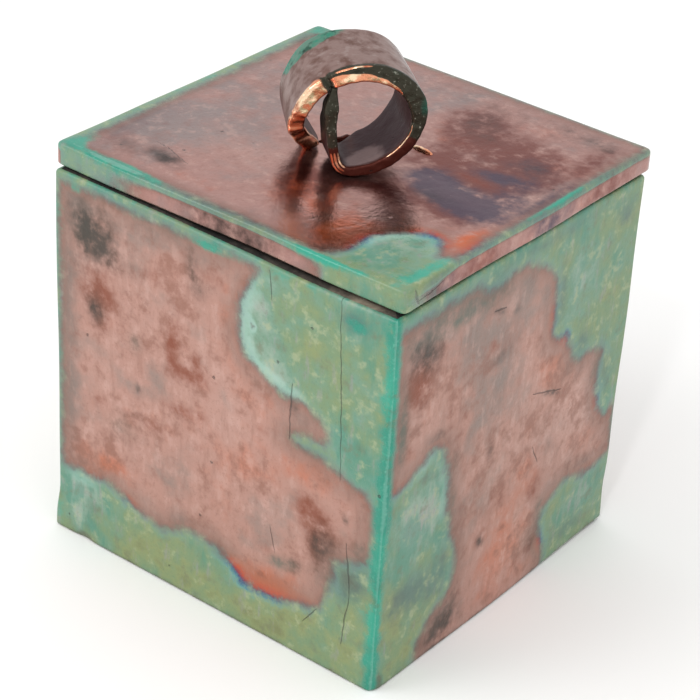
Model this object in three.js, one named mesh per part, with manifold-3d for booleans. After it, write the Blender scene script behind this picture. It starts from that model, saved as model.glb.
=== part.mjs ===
// Slab-built ceramic box with a lift-off lid and a curled strap handle.
// Millimetres, +Z up. The origin is the centre of the underside, on the surface that the box stands on.
// -Y is the front wall and +X the right wall; the handle's open end looks towards the corner between them.
import * as THREE from "three";
import * as BufferGeometryUtils from "three/addons/utils/BufferGeometryUtils.js";
import Module from "manifold-3d";

const wasm = await Module();
wasm.setup();

// Driving dimensions
const boxWidth = 111; // outside, along X
const boxDepth = 106; // outside, along Y
const wallHeight = 108.8; // from the underside to the rim
const wallThickness = 6;
const floorThickness = 6;
const cornerRadius = 2.3; // outside vertical arris
const seamGap = 0.3; // between two slabs that were slipped together
const cornerCoilLeg = 4.2; // clay coil pressed into each upright corner
const floorCoilLeg = 3.8; // the same, round the floor
const cornerCoilStop = 11; // the upright coils end this far below the rim

const lidOverhangX = 0.6; // past each side wall, when the lid is centred
const lidOverhangY = -0.3; // past the front and back walls: the lid was cut a little short
const lidThickness = 6.1;
const lidArris = 1.2;
const lidSeat = 0.6; // the uneven rim holds the lid this far up
const lidShiftX = -0.5; // where the lid lies in its play
const lidShiftY = 1.5;
const keyPlay = 2.3; // each side, between the locating strips and the walls
const keyThickness = 5;
const keyHeight = 6;

const handleTurn = 47.5; // degrees from +X to the hoop's width, anticlockwise from above
const handleX = 9.8; // the hoop's lowest front point on the lid
const handleY = -15.4;
const hoopHalfWidth = 15.4; // centre line of the strap
const hoopHalfHeight = 13.1;
const hoopTilt = 16; // degrees, long axis up to the right
const hoopCentreAcross = 1.9; // from the lowest front point
const strapWidth = 22.5;
const strapThickTop = 5;
const strapThickRight = 3.3;
const strapThickFoot = 4.4;
const strapArris = 0.9;
const bendRadius = 4.2; // where the bottom of the hoop turns up into the tongue
const tongueLength = 19.5;
const tongueRadius = 55; // the tongue's own slow curve
const tongueThickRoot = 2.8;
const tongueThickHead = 4;
const tongueThickTip = 2;

const slipBeadRadius = 1;
const backBeadLength = 13;
const backBeadAt = -78; // degrees round the hoop, where the strap lifts off the bead's right end
const backBeadTurn = 8;
const sideBeadLength = 7;
const sideBeadAcross = 21.5;
const sideBeadBehind = 15;
const sideBeadTurn = -50;

const degrees = Math.PI / 180;
const lidWidth = boxWidth + 2 * lidOverhangX;
const lidDepth = boxDepth + 2 * lidOverhangY;

// Glaze and clay
const copperGlaze = { color: 0xb08a80, roughness: 0.35, metalness: 0.35 };
const greenGlaze = { color: 0x3f8f78, roughness: 0.3, metalness: 0.1 };
const handleGlaze = { color: 0x9a6a55, roughness: 0.25, metalness: 0.5 };
const smokedClay = { color: 0x5c5650, roughness: 0.85, metalness: 0 };

const part = new THREE.Group();

function add(name, geometry, finish) {
  const mesh = new THREE.Mesh(geometry, new THREE.MeshStandardMaterial(finish));
  mesh.name = name;
  part.add(mesh);
  return mesh;
}

function toSolid(geometry) {
  const bare = geometry.clone();
  bare.deleteAttribute("normal");
  bare.deleteAttribute("uv");
  const merged = BufferGeometryUtils.mergeVertices(bare, 1e-4);
  return new wasm.Manifold(new wasm.Mesh({
    numProp: 3,
    vertProperties: new Float32Array(merged.attributes.position.array),
    triVerts: new Uint32Array(merged.index.array),
  }));
}

function toGeometry(solid) {
  const mesh = solid.getMesh();
  const geometry = new THREE.BufferGeometry();
  geometry.setAttribute("position", new THREE.BufferAttribute(mesh.vertProperties, 3));
  geometry.setIndex(new THREE.BufferAttribute(mesh.triVerts, 1));
  geometry.computeVertexNormals();
  return geometry;
}

function block(sizeX, sizeY, sizeZ) {
  return new THREE.BoxGeometry(sizeX, sizeY, sizeZ).translate(0, 0, sizeZ / 2);
}

// Walls: each is a slab with mitred ends, drawn from above with its outer face on the line y = 0
function wallPlan(length) {
  const shape = new THREE.Shape();
  const turn = Math.PI / 4 + seamGap / 2 / cornerRadius;
  const arcX = length / 2 - cornerRadius;
  const innerX = length / 2 - wallThickness - seamGap / Math.SQRT2;
  shape.moveTo(-innerX, wallThickness);
  shape.absarc(-arcX, cornerRadius, cornerRadius, turn - Math.PI, -Math.PI / 2, false);
  shape.absarc(arcX, cornerRadius, cornerRadius, -Math.PI / 2, -turn, false);
  shape.lineTo(innerX, wallThickness);
  return shape;
}

function addWall(name, length, reach, quarterTurns) {
  const options = { depth: wallHeight, bevelEnabled: false, curveSegments: 4 };
  const wall = new THREE.ExtrudeGeometry(wallPlan(length), options);
  const mesh = add(name, wall.translate(0, -reach, 0), copperGlaze);
  mesh.rotation.z = quarterTurns * Math.PI / 2;
}

addWall("front_wall", boxWidth, boxDepth / 2, 0);
addWall("right_wall", boxDepth, boxWidth / 2, 1);
addWall("back_wall", boxWidth, boxDepth / 2, 2);
addWall("left_wall", boxDepth, boxWidth / 2, 3);

const insideWidth = boxWidth - 2 * wallThickness;
const insideDepth = boxDepth - 2 * wallThickness;
add("floor_slab", block(insideWidth - 2 * seamGap, insideDepth - 2 * seamGap, floorThickness), smokedClay);

// Seam coils: a fillet of clay with a hollow face, its square corner at the origin
function coilSection(leg) {
  const shape = new THREE.Shape();
  shape.moveTo(0, 0);
  shape.lineTo(leg, 0);
  shape.lineTo(leg, leg * 0.16);
  shape.absarc(leg, leg, leg * 0.84, -Math.PI / 2, -Math.PI, true);
  shape.lineTo(0, leg);
  return shape;
}

const coilBase = floorThickness + seamGap;
const corners = [
  ["corner_coil_front_left", -1, -1, 0],
  ["corner_coil_front_right", 1, -1, 1],
  ["corner_coil_back_right", 1, 1, 2],
  ["corner_coil_back_left", -1, 1, 3],
];
for (const [name, sideX, sideY, quarterTurns] of corners) {
  const options = { depth: wallHeight - cornerCoilStop - coilBase, bevelEnabled: false, curveSegments: 6 };
  const mesh = add(name, new THREE.ExtrudeGeometry(coilSection(cornerCoilLeg), options), smokedClay);
  mesh.position.set(
    sideX * (insideWidth / 2 - seamGap),
    sideY * (insideDepth / 2 - seamGap),
    coilBase,
  );
  mesh.rotation.z = quarterTurns * Math.PI / 2;
}

const coilEnd = cornerCoilLeg + 2 * seamGap; // floor coils stop at the upright ones
const floorEdges = [
  ["floor_coil_front", insideWidth, insideDepth, 0],
  ["floor_coil_right", insideDepth, insideWidth, 1],
  ["floor_coil_back", insideWidth, insideDepth, 2],
  ["floor_coil_left", insideDepth, insideWidth, 3],
];
for (const [name, length, across, quarterTurns] of floorEdges) {
  const run = length - 2 * coilEnd;
  const options = { depth: run, bevelEnabled: false, curveSegments: 6 };
  const coil = new THREE.ExtrudeGeometry(coilSection(floorCoilLeg), options);
  coil.rotateZ(Math.PI / 2);
  coil.rotateY(Math.PI / 2);
  const mesh = add(name, coil, smokedClay);
  mesh.rotation.z = quarterTurns * Math.PI / 2;
  const start = new THREE.Vector3(-run / 2, -across / 2 + seamGap, coilBase);
  mesh.position.copy(start.applyAxisAngle(new THREE.Vector3(0, 0, 1), mesh.rotation.z));
}

// Lid: everything on it is placed in the lid's own frame, with its underside at z = 0
const lid = new THREE.Vector3(lidShiftX, lidShiftY, wallHeight + lidSeat);

function addToLid(name, geometry, finish) {
  add(name, geometry, finish).position.copy(lid);
}

function lidSlab() {
  const flatWidth = lidWidth - 2 * lidArris;
  const flatDepth = lidDepth - 2 * lidArris;
  const plan = new THREE.Shape();
  const round = lidArris * 0.9;
  const x = flatWidth / 2;
  const y = flatDepth / 2;
  plan.moveTo(-x + round, -y);
  plan.lineTo(x - round, -y);
  plan.absarc(x - round, -y + round, round, -Math.PI / 2, 0, false);
  plan.absarc(x - round, y - round, round, 0, Math.PI / 2, false);
  plan.absarc(-x + round, y - round, round, Math.PI / 2, Math.PI, false);
  plan.absarc(-x + round, -y + round, round, Math.PI, 1.5 * Math.PI, false);
  const slab = new THREE.ExtrudeGeometry(plan, {
    depth: lidThickness - 2 * lidArris,
    bevelThickness: lidArris,
    bevelSize: lidArris,
    bevelSegments: 3,
    curveSegments: 4,
  });
  return slab.translate(0, 0, lidArris);
}
addToLid("lid_slab", lidSlab(), copperGlaze);

const keyWidth = insideWidth - 2 * keyPlay;
const keyDepth = insideDepth - 2 * keyPlay;
const sideKeyLength = keyDepth - 2 * keyThickness - 2 * seamGap;
const keyDrop = -keyHeight - seamGap;
for (const side of [-1, 1]) {
  const longKey = block(keyWidth, keyThickness, keyHeight);
  longKey.translate(0, side * (keyDepth - keyThickness) / 2, keyDrop);
  addToLid(side < 0 ? "key_strip_front" : "key_strip_back", longKey, smokedClay);
  const shortKey = block(keyThickness, sideKeyLength, keyHeight);
  shortKey.translate(side * (keyWidth - keyThickness) / 2, 0, keyDrop);
  addToLid(side < 0 ? "key_strip_left" : "key_strip_right", shortKey, smokedClay);
}

// Handle: one strap of clay, rolled up. Its centre line is drawn in the hoop's plane, x across and y up:
// a straight foot, a tilted ellipse over the top, a tight bend at the bottom and a rising tongue.
const hoopTiltAngle = hoopTilt * degrees;
const hoopDrop = Math.hypot(
  hoopHalfHeight * Math.cos(hoopTiltAngle),
  hoopHalfWidth * Math.sin(hoopTiltAngle),
);
const hoopCentre = new THREE.Vector2(hoopCentreAcross, hoopDrop + strapThickRight / 2);

function hoopPoint(angle) {
  const point = new THREE.Vector2(hoopHalfWidth * Math.cos(angle), hoopHalfHeight * Math.sin(angle));
  return point.rotateAround(new THREE.Vector2(0, 0), hoopTiltAngle).add(hoopCentre);
}

function hoopHeading(angle) {
  const along = new THREE.Vector2(hoopHalfWidth * Math.sin(angle), -hoopHalfHeight * Math.cos(angle));
  return along.rotateAround(new THREE.Vector2(0, 0), hoopTiltAngle).normalize();
}

const hoopStart = 192 * degrees; // where the foot joins the ellipse
const hoopEnd = -108 * degrees; // where the bend begins
const hoopSteps = 44;

function curlCentreLine() {
  const points = [];
  const start = hoopPoint(hoopStart);
  const heading = hoopHeading(hoopStart);
  const footLength = start.y / heading.y;
  for (const share of [1, 0.8, 0.6, 0.4, 0.2]) {
    points.push(start.clone().addScaledVector(heading, -footLength * share));
  }
  for (let step = 0; step <= hoopSteps; step += 1) {
    points.push(hoopPoint(hoopStart + (hoopEnd - hoopStart) * step / hoopSteps));
  }
  let direction = hoopHeading(hoopEnd).angle();
  const here = points[points.length - 1].clone();
  const walk = (length, turn, steps) => {
    for (let step = 0; step < steps; step += 1) {
      direction -= turn / steps;
      here.add(new THREE.Vector2(Math.cos(direction), Math.sin(direction)).multiplyScalar(length / steps));
      points.push(here.clone());
    }
  };
  const tongueLean = 104 * degrees; // direction in which the tongue sets out
  const bendTurn = direction - tongueLean;
  walk(bendRadius * bendTurn, bendTurn, 10);
  walk(tongueLength, tongueLength / tongueRadius, 14);
  return points;
}

// Along the strap: share of its length, thickness, how far the front and back edges lie behind the hoop's
// front, as shares of the strap's width, and how far the back leans out of the hoop, in millimetres.
// The foot slants away behind, and the tongue narrows forward.
const strapStations = [
  { along: 0, thick: strapThickFoot, front: 0.74, back: 1, lean: -0.8 },
  { along: 0.08, thick: strapThickFoot, front: 0.42, back: 1, lean: -0.8 },
  { along: 0.13, thick: strapThickFoot, front: 0.12, back: 1, lean: -0.6 },
  { along: 0.18, thick: strapThickFoot, front: 0, back: 1, lean: -0.2 },
  { along: 0.27, thick: strapThickFoot, front: 0, back: 1, lean: 1.2 },
  { along: 0.4, thick: strapThickTop, front: 0, back: 1, lean: 0 },
  { along: 0.5, thick: strapThickTop, front: 0, back: 1, lean: -1.2 },
  { along: 0.6, thick: strapThickRight, front: 0, back: 0.98, lean: -0.8 },
  { along: 0.72, thick: strapThickRight, front: 0, back: 0.9, lean: 0 },
  { along: 0.8, thick: tongueThickRoot, front: 0, back: 0.66, lean: 0.8 },
  { along: 0.89, thick: tongueThickRoot, front: 0, back: 0.42, lean: 1.4 },
  { along: 0.95, thick: tongueThickHead, front: 0, back: 0.2, lean: 0.6 },
  { along: 1, thick: tongueThickTip, front: 0.02, back: 0.12, lean: 0 },
];

function stationAt(along) {
  const next = Math.max(1, strapStations.findIndex((station) => station.along >= along));
  const from = strapStations[next - 1];
  const to = strapStations[next];
  const share = THREE.MathUtils.smoothstep(along, from.along, to.along);
  const mix = (key) => THREE.MathUtils.lerp(from[key], to[key], share);
  return {
    thick: mix("thick"),
    front: mix("front") * strapWidth,
    back: mix("back") * strapWidth,
    lean: mix("lean") / strapWidth,
  };
}

// A section of the strap is a rectangle with rounded arrises. Its points are pairs: how far behind the
// hoop's front, and how far out from the middle of the strap.
function strapSection({ thick, front, back, lean }) {
  const round = Math.min(strapArris, thick * 0.4, (back - front) * 0.4);
  const corners = [
    [back - round, thick / 2 - round, 0],
    [front + round, thick / 2 - round, 1],
    [front + round, round - thick / 2, 2],
    [back - round, round - thick / 2, 3],
  ];
  const arrisSteps = 3;
  return corners.flatMap(([behind, out, quarter]) => (
    Array.from({ length: arrisSteps + 1 }, (unused, step) => {
      const angle = (quarter + step / arrisSteps) * Math.PI / 2;
      const depth = behind + round * Math.cos(angle);
      return [depth, out + round * Math.sin(angle) + lean * depth];
    })
  ));
}

function strapSolid() {
  const line = curlCentreLine();
  const reach = [0];
  for (let step = 1; step < line.length; step += 1) {
    reach.push(reach[step - 1] + line[step].distanceTo(line[step - 1]));
  }
  const total = reach[reach.length - 1];
  const positions = [];
  const index = [];
  let count = 0;
  line.forEach((middle, step) => {
    const before = line[Math.max(step - 1, 0)];
    const after = line[Math.min(step + 1, line.length - 1)];
    const heading = after.clone().sub(before).normalize();
    const section = strapSection(stationAt(reach[step] / total));
    count = section.length;
    for (const [behind, out] of section) {
      positions.push(middle.x - heading.y * out, behind, middle.y + heading.x * out);
    }
  });
  const point = (step, corner) => step * count + corner % count;
  for (let step = 0; step + 1 < line.length; step += 1) {
    for (let corner = 0; corner < count; corner += 1) {
      const near = point(step, corner);
      const far = point(step + 1, corner + 1);
      index.push(near, point(step, corner + 1), far, near, far, point(step + 1, corner));
    }
  }
  const last = line.length - 1;
  for (let corner = 1; corner + 1 < count; corner += 1) {
    index.push(point(0, 0), point(0, corner + 1), point(0, corner));
    index.push(point(last, 0), point(last, corner), point(last, corner + 1));
  }
  const geometry = new THREE.BufferGeometry();
  geometry.setAttribute("position", new THREE.Float32BufferAttribute(positions, 3));
  geometry.setIndex(index);
  return toSolid(geometry);
}

// The strap is pressed down on the lid, so its lowest parts are flat
function pressedFlat(solid, height) {
  const reach = 2 * strapWidth;
  const above = block(2 * reach, 2 * reach, reach).translate(0, reach / 2, height);
  return toGeometry(solid.intersect(toSolid(above)));
}

function addHandlePiece(name, geometry, finish) {
  geometry.rotateZ(handleTurn * degrees);
  geometry.translate(handleX, handleY, wallHeight + lidSeat + lidThickness);
  add(name, geometry, finish);
}

addHandlePiece("handle_curl", pressedFlat(strapSolid(), seamGap), handleGlaze);

// Slip squeezed out of the joint: a long low drop, half sunk in the lid
function slipBead(length) {
  const bead = new THREE.CapsuleGeometry(slipBeadRadius, length - 2 * slipBeadRadius, 4, 10);
  bead.rotateZ(Math.PI / 2);
  return toSolid(bead);
}

const backBeadAcross = hoopPoint(backBeadAt * degrees).x - backBeadLength / 2;
const backBeadBehind = strapWidth - slipBeadRadius / 2;
const backBead = pressedFlat(slipBead(backBeadLength), seamGap);
backBead.rotateZ(backBeadTurn * degrees);
addHandlePiece("slip_bead_back", backBead.translate(backBeadAcross, backBeadBehind, 0), handleGlaze);
const sideBead = pressedFlat(slipBead(sideBeadLength), seamGap);
sideBead.rotateZ(sideBeadTurn * degrees);
addHandlePiece("slip_bead_side", sideBead.translate(sideBeadAcross, sideBeadBehind, 0), handleGlaze);

export default part;
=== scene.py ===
# Looks for the slab-built lidded box: walls, lid, rolled strap handle, glaze and smoked clay.
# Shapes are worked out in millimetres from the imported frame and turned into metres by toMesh.
import math

import bpy
import numpy as np
from mathutils import Matrix, Vector, noise


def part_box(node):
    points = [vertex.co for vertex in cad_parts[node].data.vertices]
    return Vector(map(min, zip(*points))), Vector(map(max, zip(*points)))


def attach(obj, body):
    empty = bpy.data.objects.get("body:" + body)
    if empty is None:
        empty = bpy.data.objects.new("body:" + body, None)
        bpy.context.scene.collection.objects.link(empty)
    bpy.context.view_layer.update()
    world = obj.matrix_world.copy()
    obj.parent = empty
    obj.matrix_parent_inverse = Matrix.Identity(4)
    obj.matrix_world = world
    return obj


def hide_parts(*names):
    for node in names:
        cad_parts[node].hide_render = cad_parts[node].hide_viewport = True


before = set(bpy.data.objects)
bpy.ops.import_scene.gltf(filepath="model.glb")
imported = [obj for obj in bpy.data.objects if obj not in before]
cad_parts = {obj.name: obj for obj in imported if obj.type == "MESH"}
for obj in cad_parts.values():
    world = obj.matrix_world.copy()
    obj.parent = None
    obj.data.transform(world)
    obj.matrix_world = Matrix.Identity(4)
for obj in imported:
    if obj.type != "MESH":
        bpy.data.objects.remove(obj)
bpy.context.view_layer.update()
scene = bpy.context.scene
mm = 0.001


def boxOf(node):
    low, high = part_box(node)
    return np.array(low) / mm, np.array(high) / mm


frontLow, frontHigh = boxOf("front_wall")
rightHigh = boxOf("right_wall")[1]
lidLow, lidHigh = boxOf("lid_slab")
halfX = rightHigh[0]
halfY = -frontLow[1]
wallHeight = frontHigh[2]
wallThick = frontHigh[1] - frontLow[1]
lidTop = lidHigh[2]


# small helpers for points and meshes

def lumps(points, size, seed=0):
    # smooth noise from about -1 to 1; size is the width of a lump
    shift = Vector((seed * 17.3, seed * 5.1, seed * 9.7))
    return np.array([noise.noise(Vector(point) / size + shift) for point in points])


def ease(value, start, end):
    share = np.clip((np.asarray(value, float) - start) / (end - start), 0, 1)
    return share * share * (3 - 2 * share)


def spots(u, v, marks):
    # each mark: across, up, half width, half height, turn in degrees, strength
    total = np.zeros(len(u))
    for across, up, wide, tall, turn, strength in marks:
        cosine, sine = math.cos(math.radians(turn)), math.sin(math.radians(turn))
        du, dv = u - across, v - up
        along = (du * cosine + dv * sine) / wide
        beside = (dv * cosine - du * sine) / tall
        total += strength * np.exp(-(along ** 2 + beside ** 2))
    return total


def roundOutline(corners, steps=6):
    # a smooth closed line through the given corners
    p = np.array(corners, float)
    before, after, beyond = np.roll(p, 1, 0), np.roll(p, -1, 0), np.roll(p, -2, 0)
    t = (np.arange(steps) / steps)[None, :, None]
    a, b, c, d = before[:, None], p[:, None], after[:, None], beyond[:, None]
    curve = 2 * b + (c - a) * t + (2 * a - 5 * b + 4 * c - d) * t ** 2 + (3 * b - a - 3 * c + d) * t ** 3
    return 0.5 * curve.reshape(-1, 2)


def outlineDistance(u, v, corners):
    # signed distance to the outline, negative inside it
    line = roundOutline(corners)
    ends = np.roll(line, -1, 0)
    nearest = np.full(len(u), 1e9)
    inside = np.zeros(len(u), bool)
    for (ax, ay), (bx, by) in zip(line, ends):
        run, rise = bx - ax, by - ay
        share = np.clip(((u - ax) * run + (v - ay) * rise) / (run * run + rise * rise + 1e-9), 0, 1)
        nearest = np.minimum(nearest, (u - ax - share * run) ** 2 + (v - ay - share * rise) ** 2)
        crosses = (ay > v) != (by > v)
        if crosses.any() and abs(rise) > 1e-9:
            inside ^= crosses & (u < ax + (v - ay) / rise * run)
    return np.where(inside, -1, 1) * np.sqrt(nearest)


def toMesh(name, points, faces, normals=None):
    mesh = bpy.data.meshes.new(name)
    mesh.from_pydata((np.asarray(points) * mm).tolist(), [], faces)
    mesh.update()
    mesh.shade_smooth()
    if normals is not None:
        mesh.normals_split_custom_set_from_vertices(np.asarray(normals).tolist())
    made = bpy.data.objects.new(name, mesh)
    scene.collection.objects.link(made)
    return made


def outward(points, faces):
    # turns the faces round if they look into the solid
    p = np.asarray(points)
    volume = 0.0
    for face in faces:
        a = p[face[0]]
        for second, third in zip(face[1:-1], face[2:]):
            volume += np.dot(a, np.cross(p[second], p[third]))
    return faces if volume > 0 else [face[::-1] for face in faces]


def pointNormals(points, faces):
    p = np.asarray(points)
    quads = np.array([face for face in faces if len(face) == 4])
    normal = np.cross(p[quads[:, 2]] - p[quads[:, 0]], p[quads[:, 3]] - p[quads[:, 1]])
    total = np.zeros_like(p)
    for corner in range(4):
        np.add.at(total, quads[:, corner], normal)
    return total


def unit(vectors):
    return vectors / np.maximum(np.linalg.norm(vectors, axis=-1, keepdims=True), 1e-12)


def paint(piece, name, first, second, third):
    # three values at each point, which the glaze reads as one vector
    layer = piece.data.attributes.new(name, "FLOAT_VECTOR", "POINT")
    count = len(piece.data.vertices)
    values = np.stack([np.broadcast_to(channel, count) for channel in (first, second, third)], 1)
    layer.data.foreach_set("vector", values.astype(np.float32).ravel())


# how the soft slabs settled

settle = {
    "drawIn": 0.2,  # walls stand this far inside their straight size, on average
    "waver": 0.24,  # and waver this much either way
    "waverSize": 34.0,
    "leftPinch": 0.95,  # front left corner leans in, with a foot at the base
    "rightPinch": 1.1,  # back right corner likewise
    "rimDip": 0.85,  # the rim sags beside the front right corner
    "heelLift": 0.9,  # the base rises a little at the back right corner
    "heelTuck": 1.0,  # and its foot turns in
}


def settleBody(points):
    # moves every part of the box together, so that slabs and coils stay joined
    s = settle
    x, y, z = np.asarray(points, float).T
    flatX = np.stack([np.sign(x) * halfX, y, z], 1)
    flatY = np.stack([x, np.sign(y) * halfY, z], 1)
    inX = s["drawIn"] + s["waver"] * 1.6 * lumps(flatX, s["waverSize"], 1)
    inY = s["drawIn"] + s["waver"] * 1.6 * lumps(flatY, s["waverSize"], 2)
    leftProfile = (1 - ease(z, 40, 108)) * ease(z, 0.5, 13)
    inX += s["leftPinch"] * leftProfile * (x < 0) * (1 - ease(y, -53, -12))
    rightProfile = 0.25 + 0.75 * (1 - ease(z, 40, 104)) * (0.5 + 0.5 * ease(z, 0, 14))
    inY += s["rightPinch"] * rightProfile * (y > 0) * ease(x, 12, 55)
    foot = 1 - 0.85 * (1 - ease(z, 1, 14))  # the walls spread again at the foot
    inX = inX * foot + s["heelTuck"] * (x > 0) * ease(y, -10, 53) * (1 - ease(z, 3, 26))
    inX, inY = np.maximum(inX, 0.03), np.maximum(inY * foot, 0.03)
    dip = s["rimDip"] * np.exp(-(((x - 34) / 26) ** 2)) * (1 - ease(y, -53, -20))
    dip += 0.14 + 0.14 * lumps(np.stack([x, y, 0 * x], 1), 22, 3)
    lift = s["heelLift"] * ease(x, 5, 55) * ease(y, 0, 53) * (1 - ease(z, 0, 34))
    moved = np.stack([x - x / halfX * inX, y - y / halfY * inY, z - dip * ease(z, 62, wallHeight) + lift], 1)
    return moved


# walls

walls = {
    "cornerRadius": 1.3,
    "rimArris": 1.1,
    "innerArris": 1.3,
    "baseArris": 0.45,
    "pitch": 1.1,  # distance between points on the outer faces
    "innerPitch": 3.0,
    "cornerSteps": 8,
}


def arcPoints(centreDepth, centreHeight, radius, fromTurn, toTurn, steps):
    turns = np.radians(np.linspace(fromTurn, toTurn, steps + 1))
    return [(centreDepth + radius * math.cos(t), centreHeight + radius * math.sin(t)) for t in turns]


def straight(first, second, pitch):
    count = max(1, round(math.dist(first, second) / pitch))
    return [tuple(np.array(first) + (np.array(second) - first) * k / count) for k in range(1, count)]


def wallProfile():
    # a section through the slab: depth in from the outer face, and height
    w = walls
    deep, high = wallThick, wallHeight
    rim, inner, base = w["rimArris"], w["innerArris"], w["baseArris"]
    line = arcPoints(base, base, base, -90, -180, 3)
    line += straight((0, base), (0, high - rim), w["pitch"])
    line += arcPoints(rim, high - rim, rim, 180, 90, 6)
    line += straight((rim, high), (deep - inner, high), 0.8)
    line += arcPoints(deep - inner, high - inner, inner, 90, 0, 4)
    line += straight((deep, high - inner), (deep, base), w["innerPitch"])
    line += arcPoints(deep - base, base, base, 0, -90, 2)
    line += straight((deep - base, 0), (base, 0), 1.6)
    return np.array(line)


def wallPoints(length, reach, quarter):
    # stations run along the wall from mitre to mitre, rounding each corner on the way
    w = walls
    profile = wallProfile()
    depth, height = profile.T
    bend = np.maximum(w["cornerRadius"] - depth, 0.4)
    flatEnd = length / 2 - depth - bend
    spread = np.linspace(-1, 1, round(length / w["pitch"]) + 1)
    middle = flatEnd[None, :] * spread[:, None]
    turns = np.radians(45 * np.arange(1, w["cornerSteps"] + 1) / w["cornerSteps"])[:, None]
    corner = flatEnd[None, :] + bend[None, :] * np.sin(turns)
    behind = depth[None, :] + bend[None, :] * (1 - np.cos(turns))
    u = np.concatenate([-corner[::-1], middle, corner])
    flat = np.broadcast_to(depth, middle.shape)
    v = np.concatenate([behind[::-1], flat, behind])
    z = np.broadcast_to(height, u.shape)
    turn = quarter * math.pi / 2
    x = u * math.cos(turn) - (v - reach) * math.sin(turn)
    y = u * math.sin(turn) + (v - reach) * math.cos(turn)
    return np.stack([x, y, z], -1), u, v, profile


def loftFaces(stations, around):
    near = np.arange(stations - 1)[:, None] * around + np.arange(around)[None, :]
    side = np.arange(stations - 1)[:, None] * around + (np.arange(around)[None, :] + 1) % around
    quads = np.stack([near, side, side + around, near + around], -1).reshape(-1, 4).tolist()
    first = list(range(around))[::-1]
    last = [(stations - 1) * around + k for k in range(around)]
    return quads + [first, last]


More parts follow.
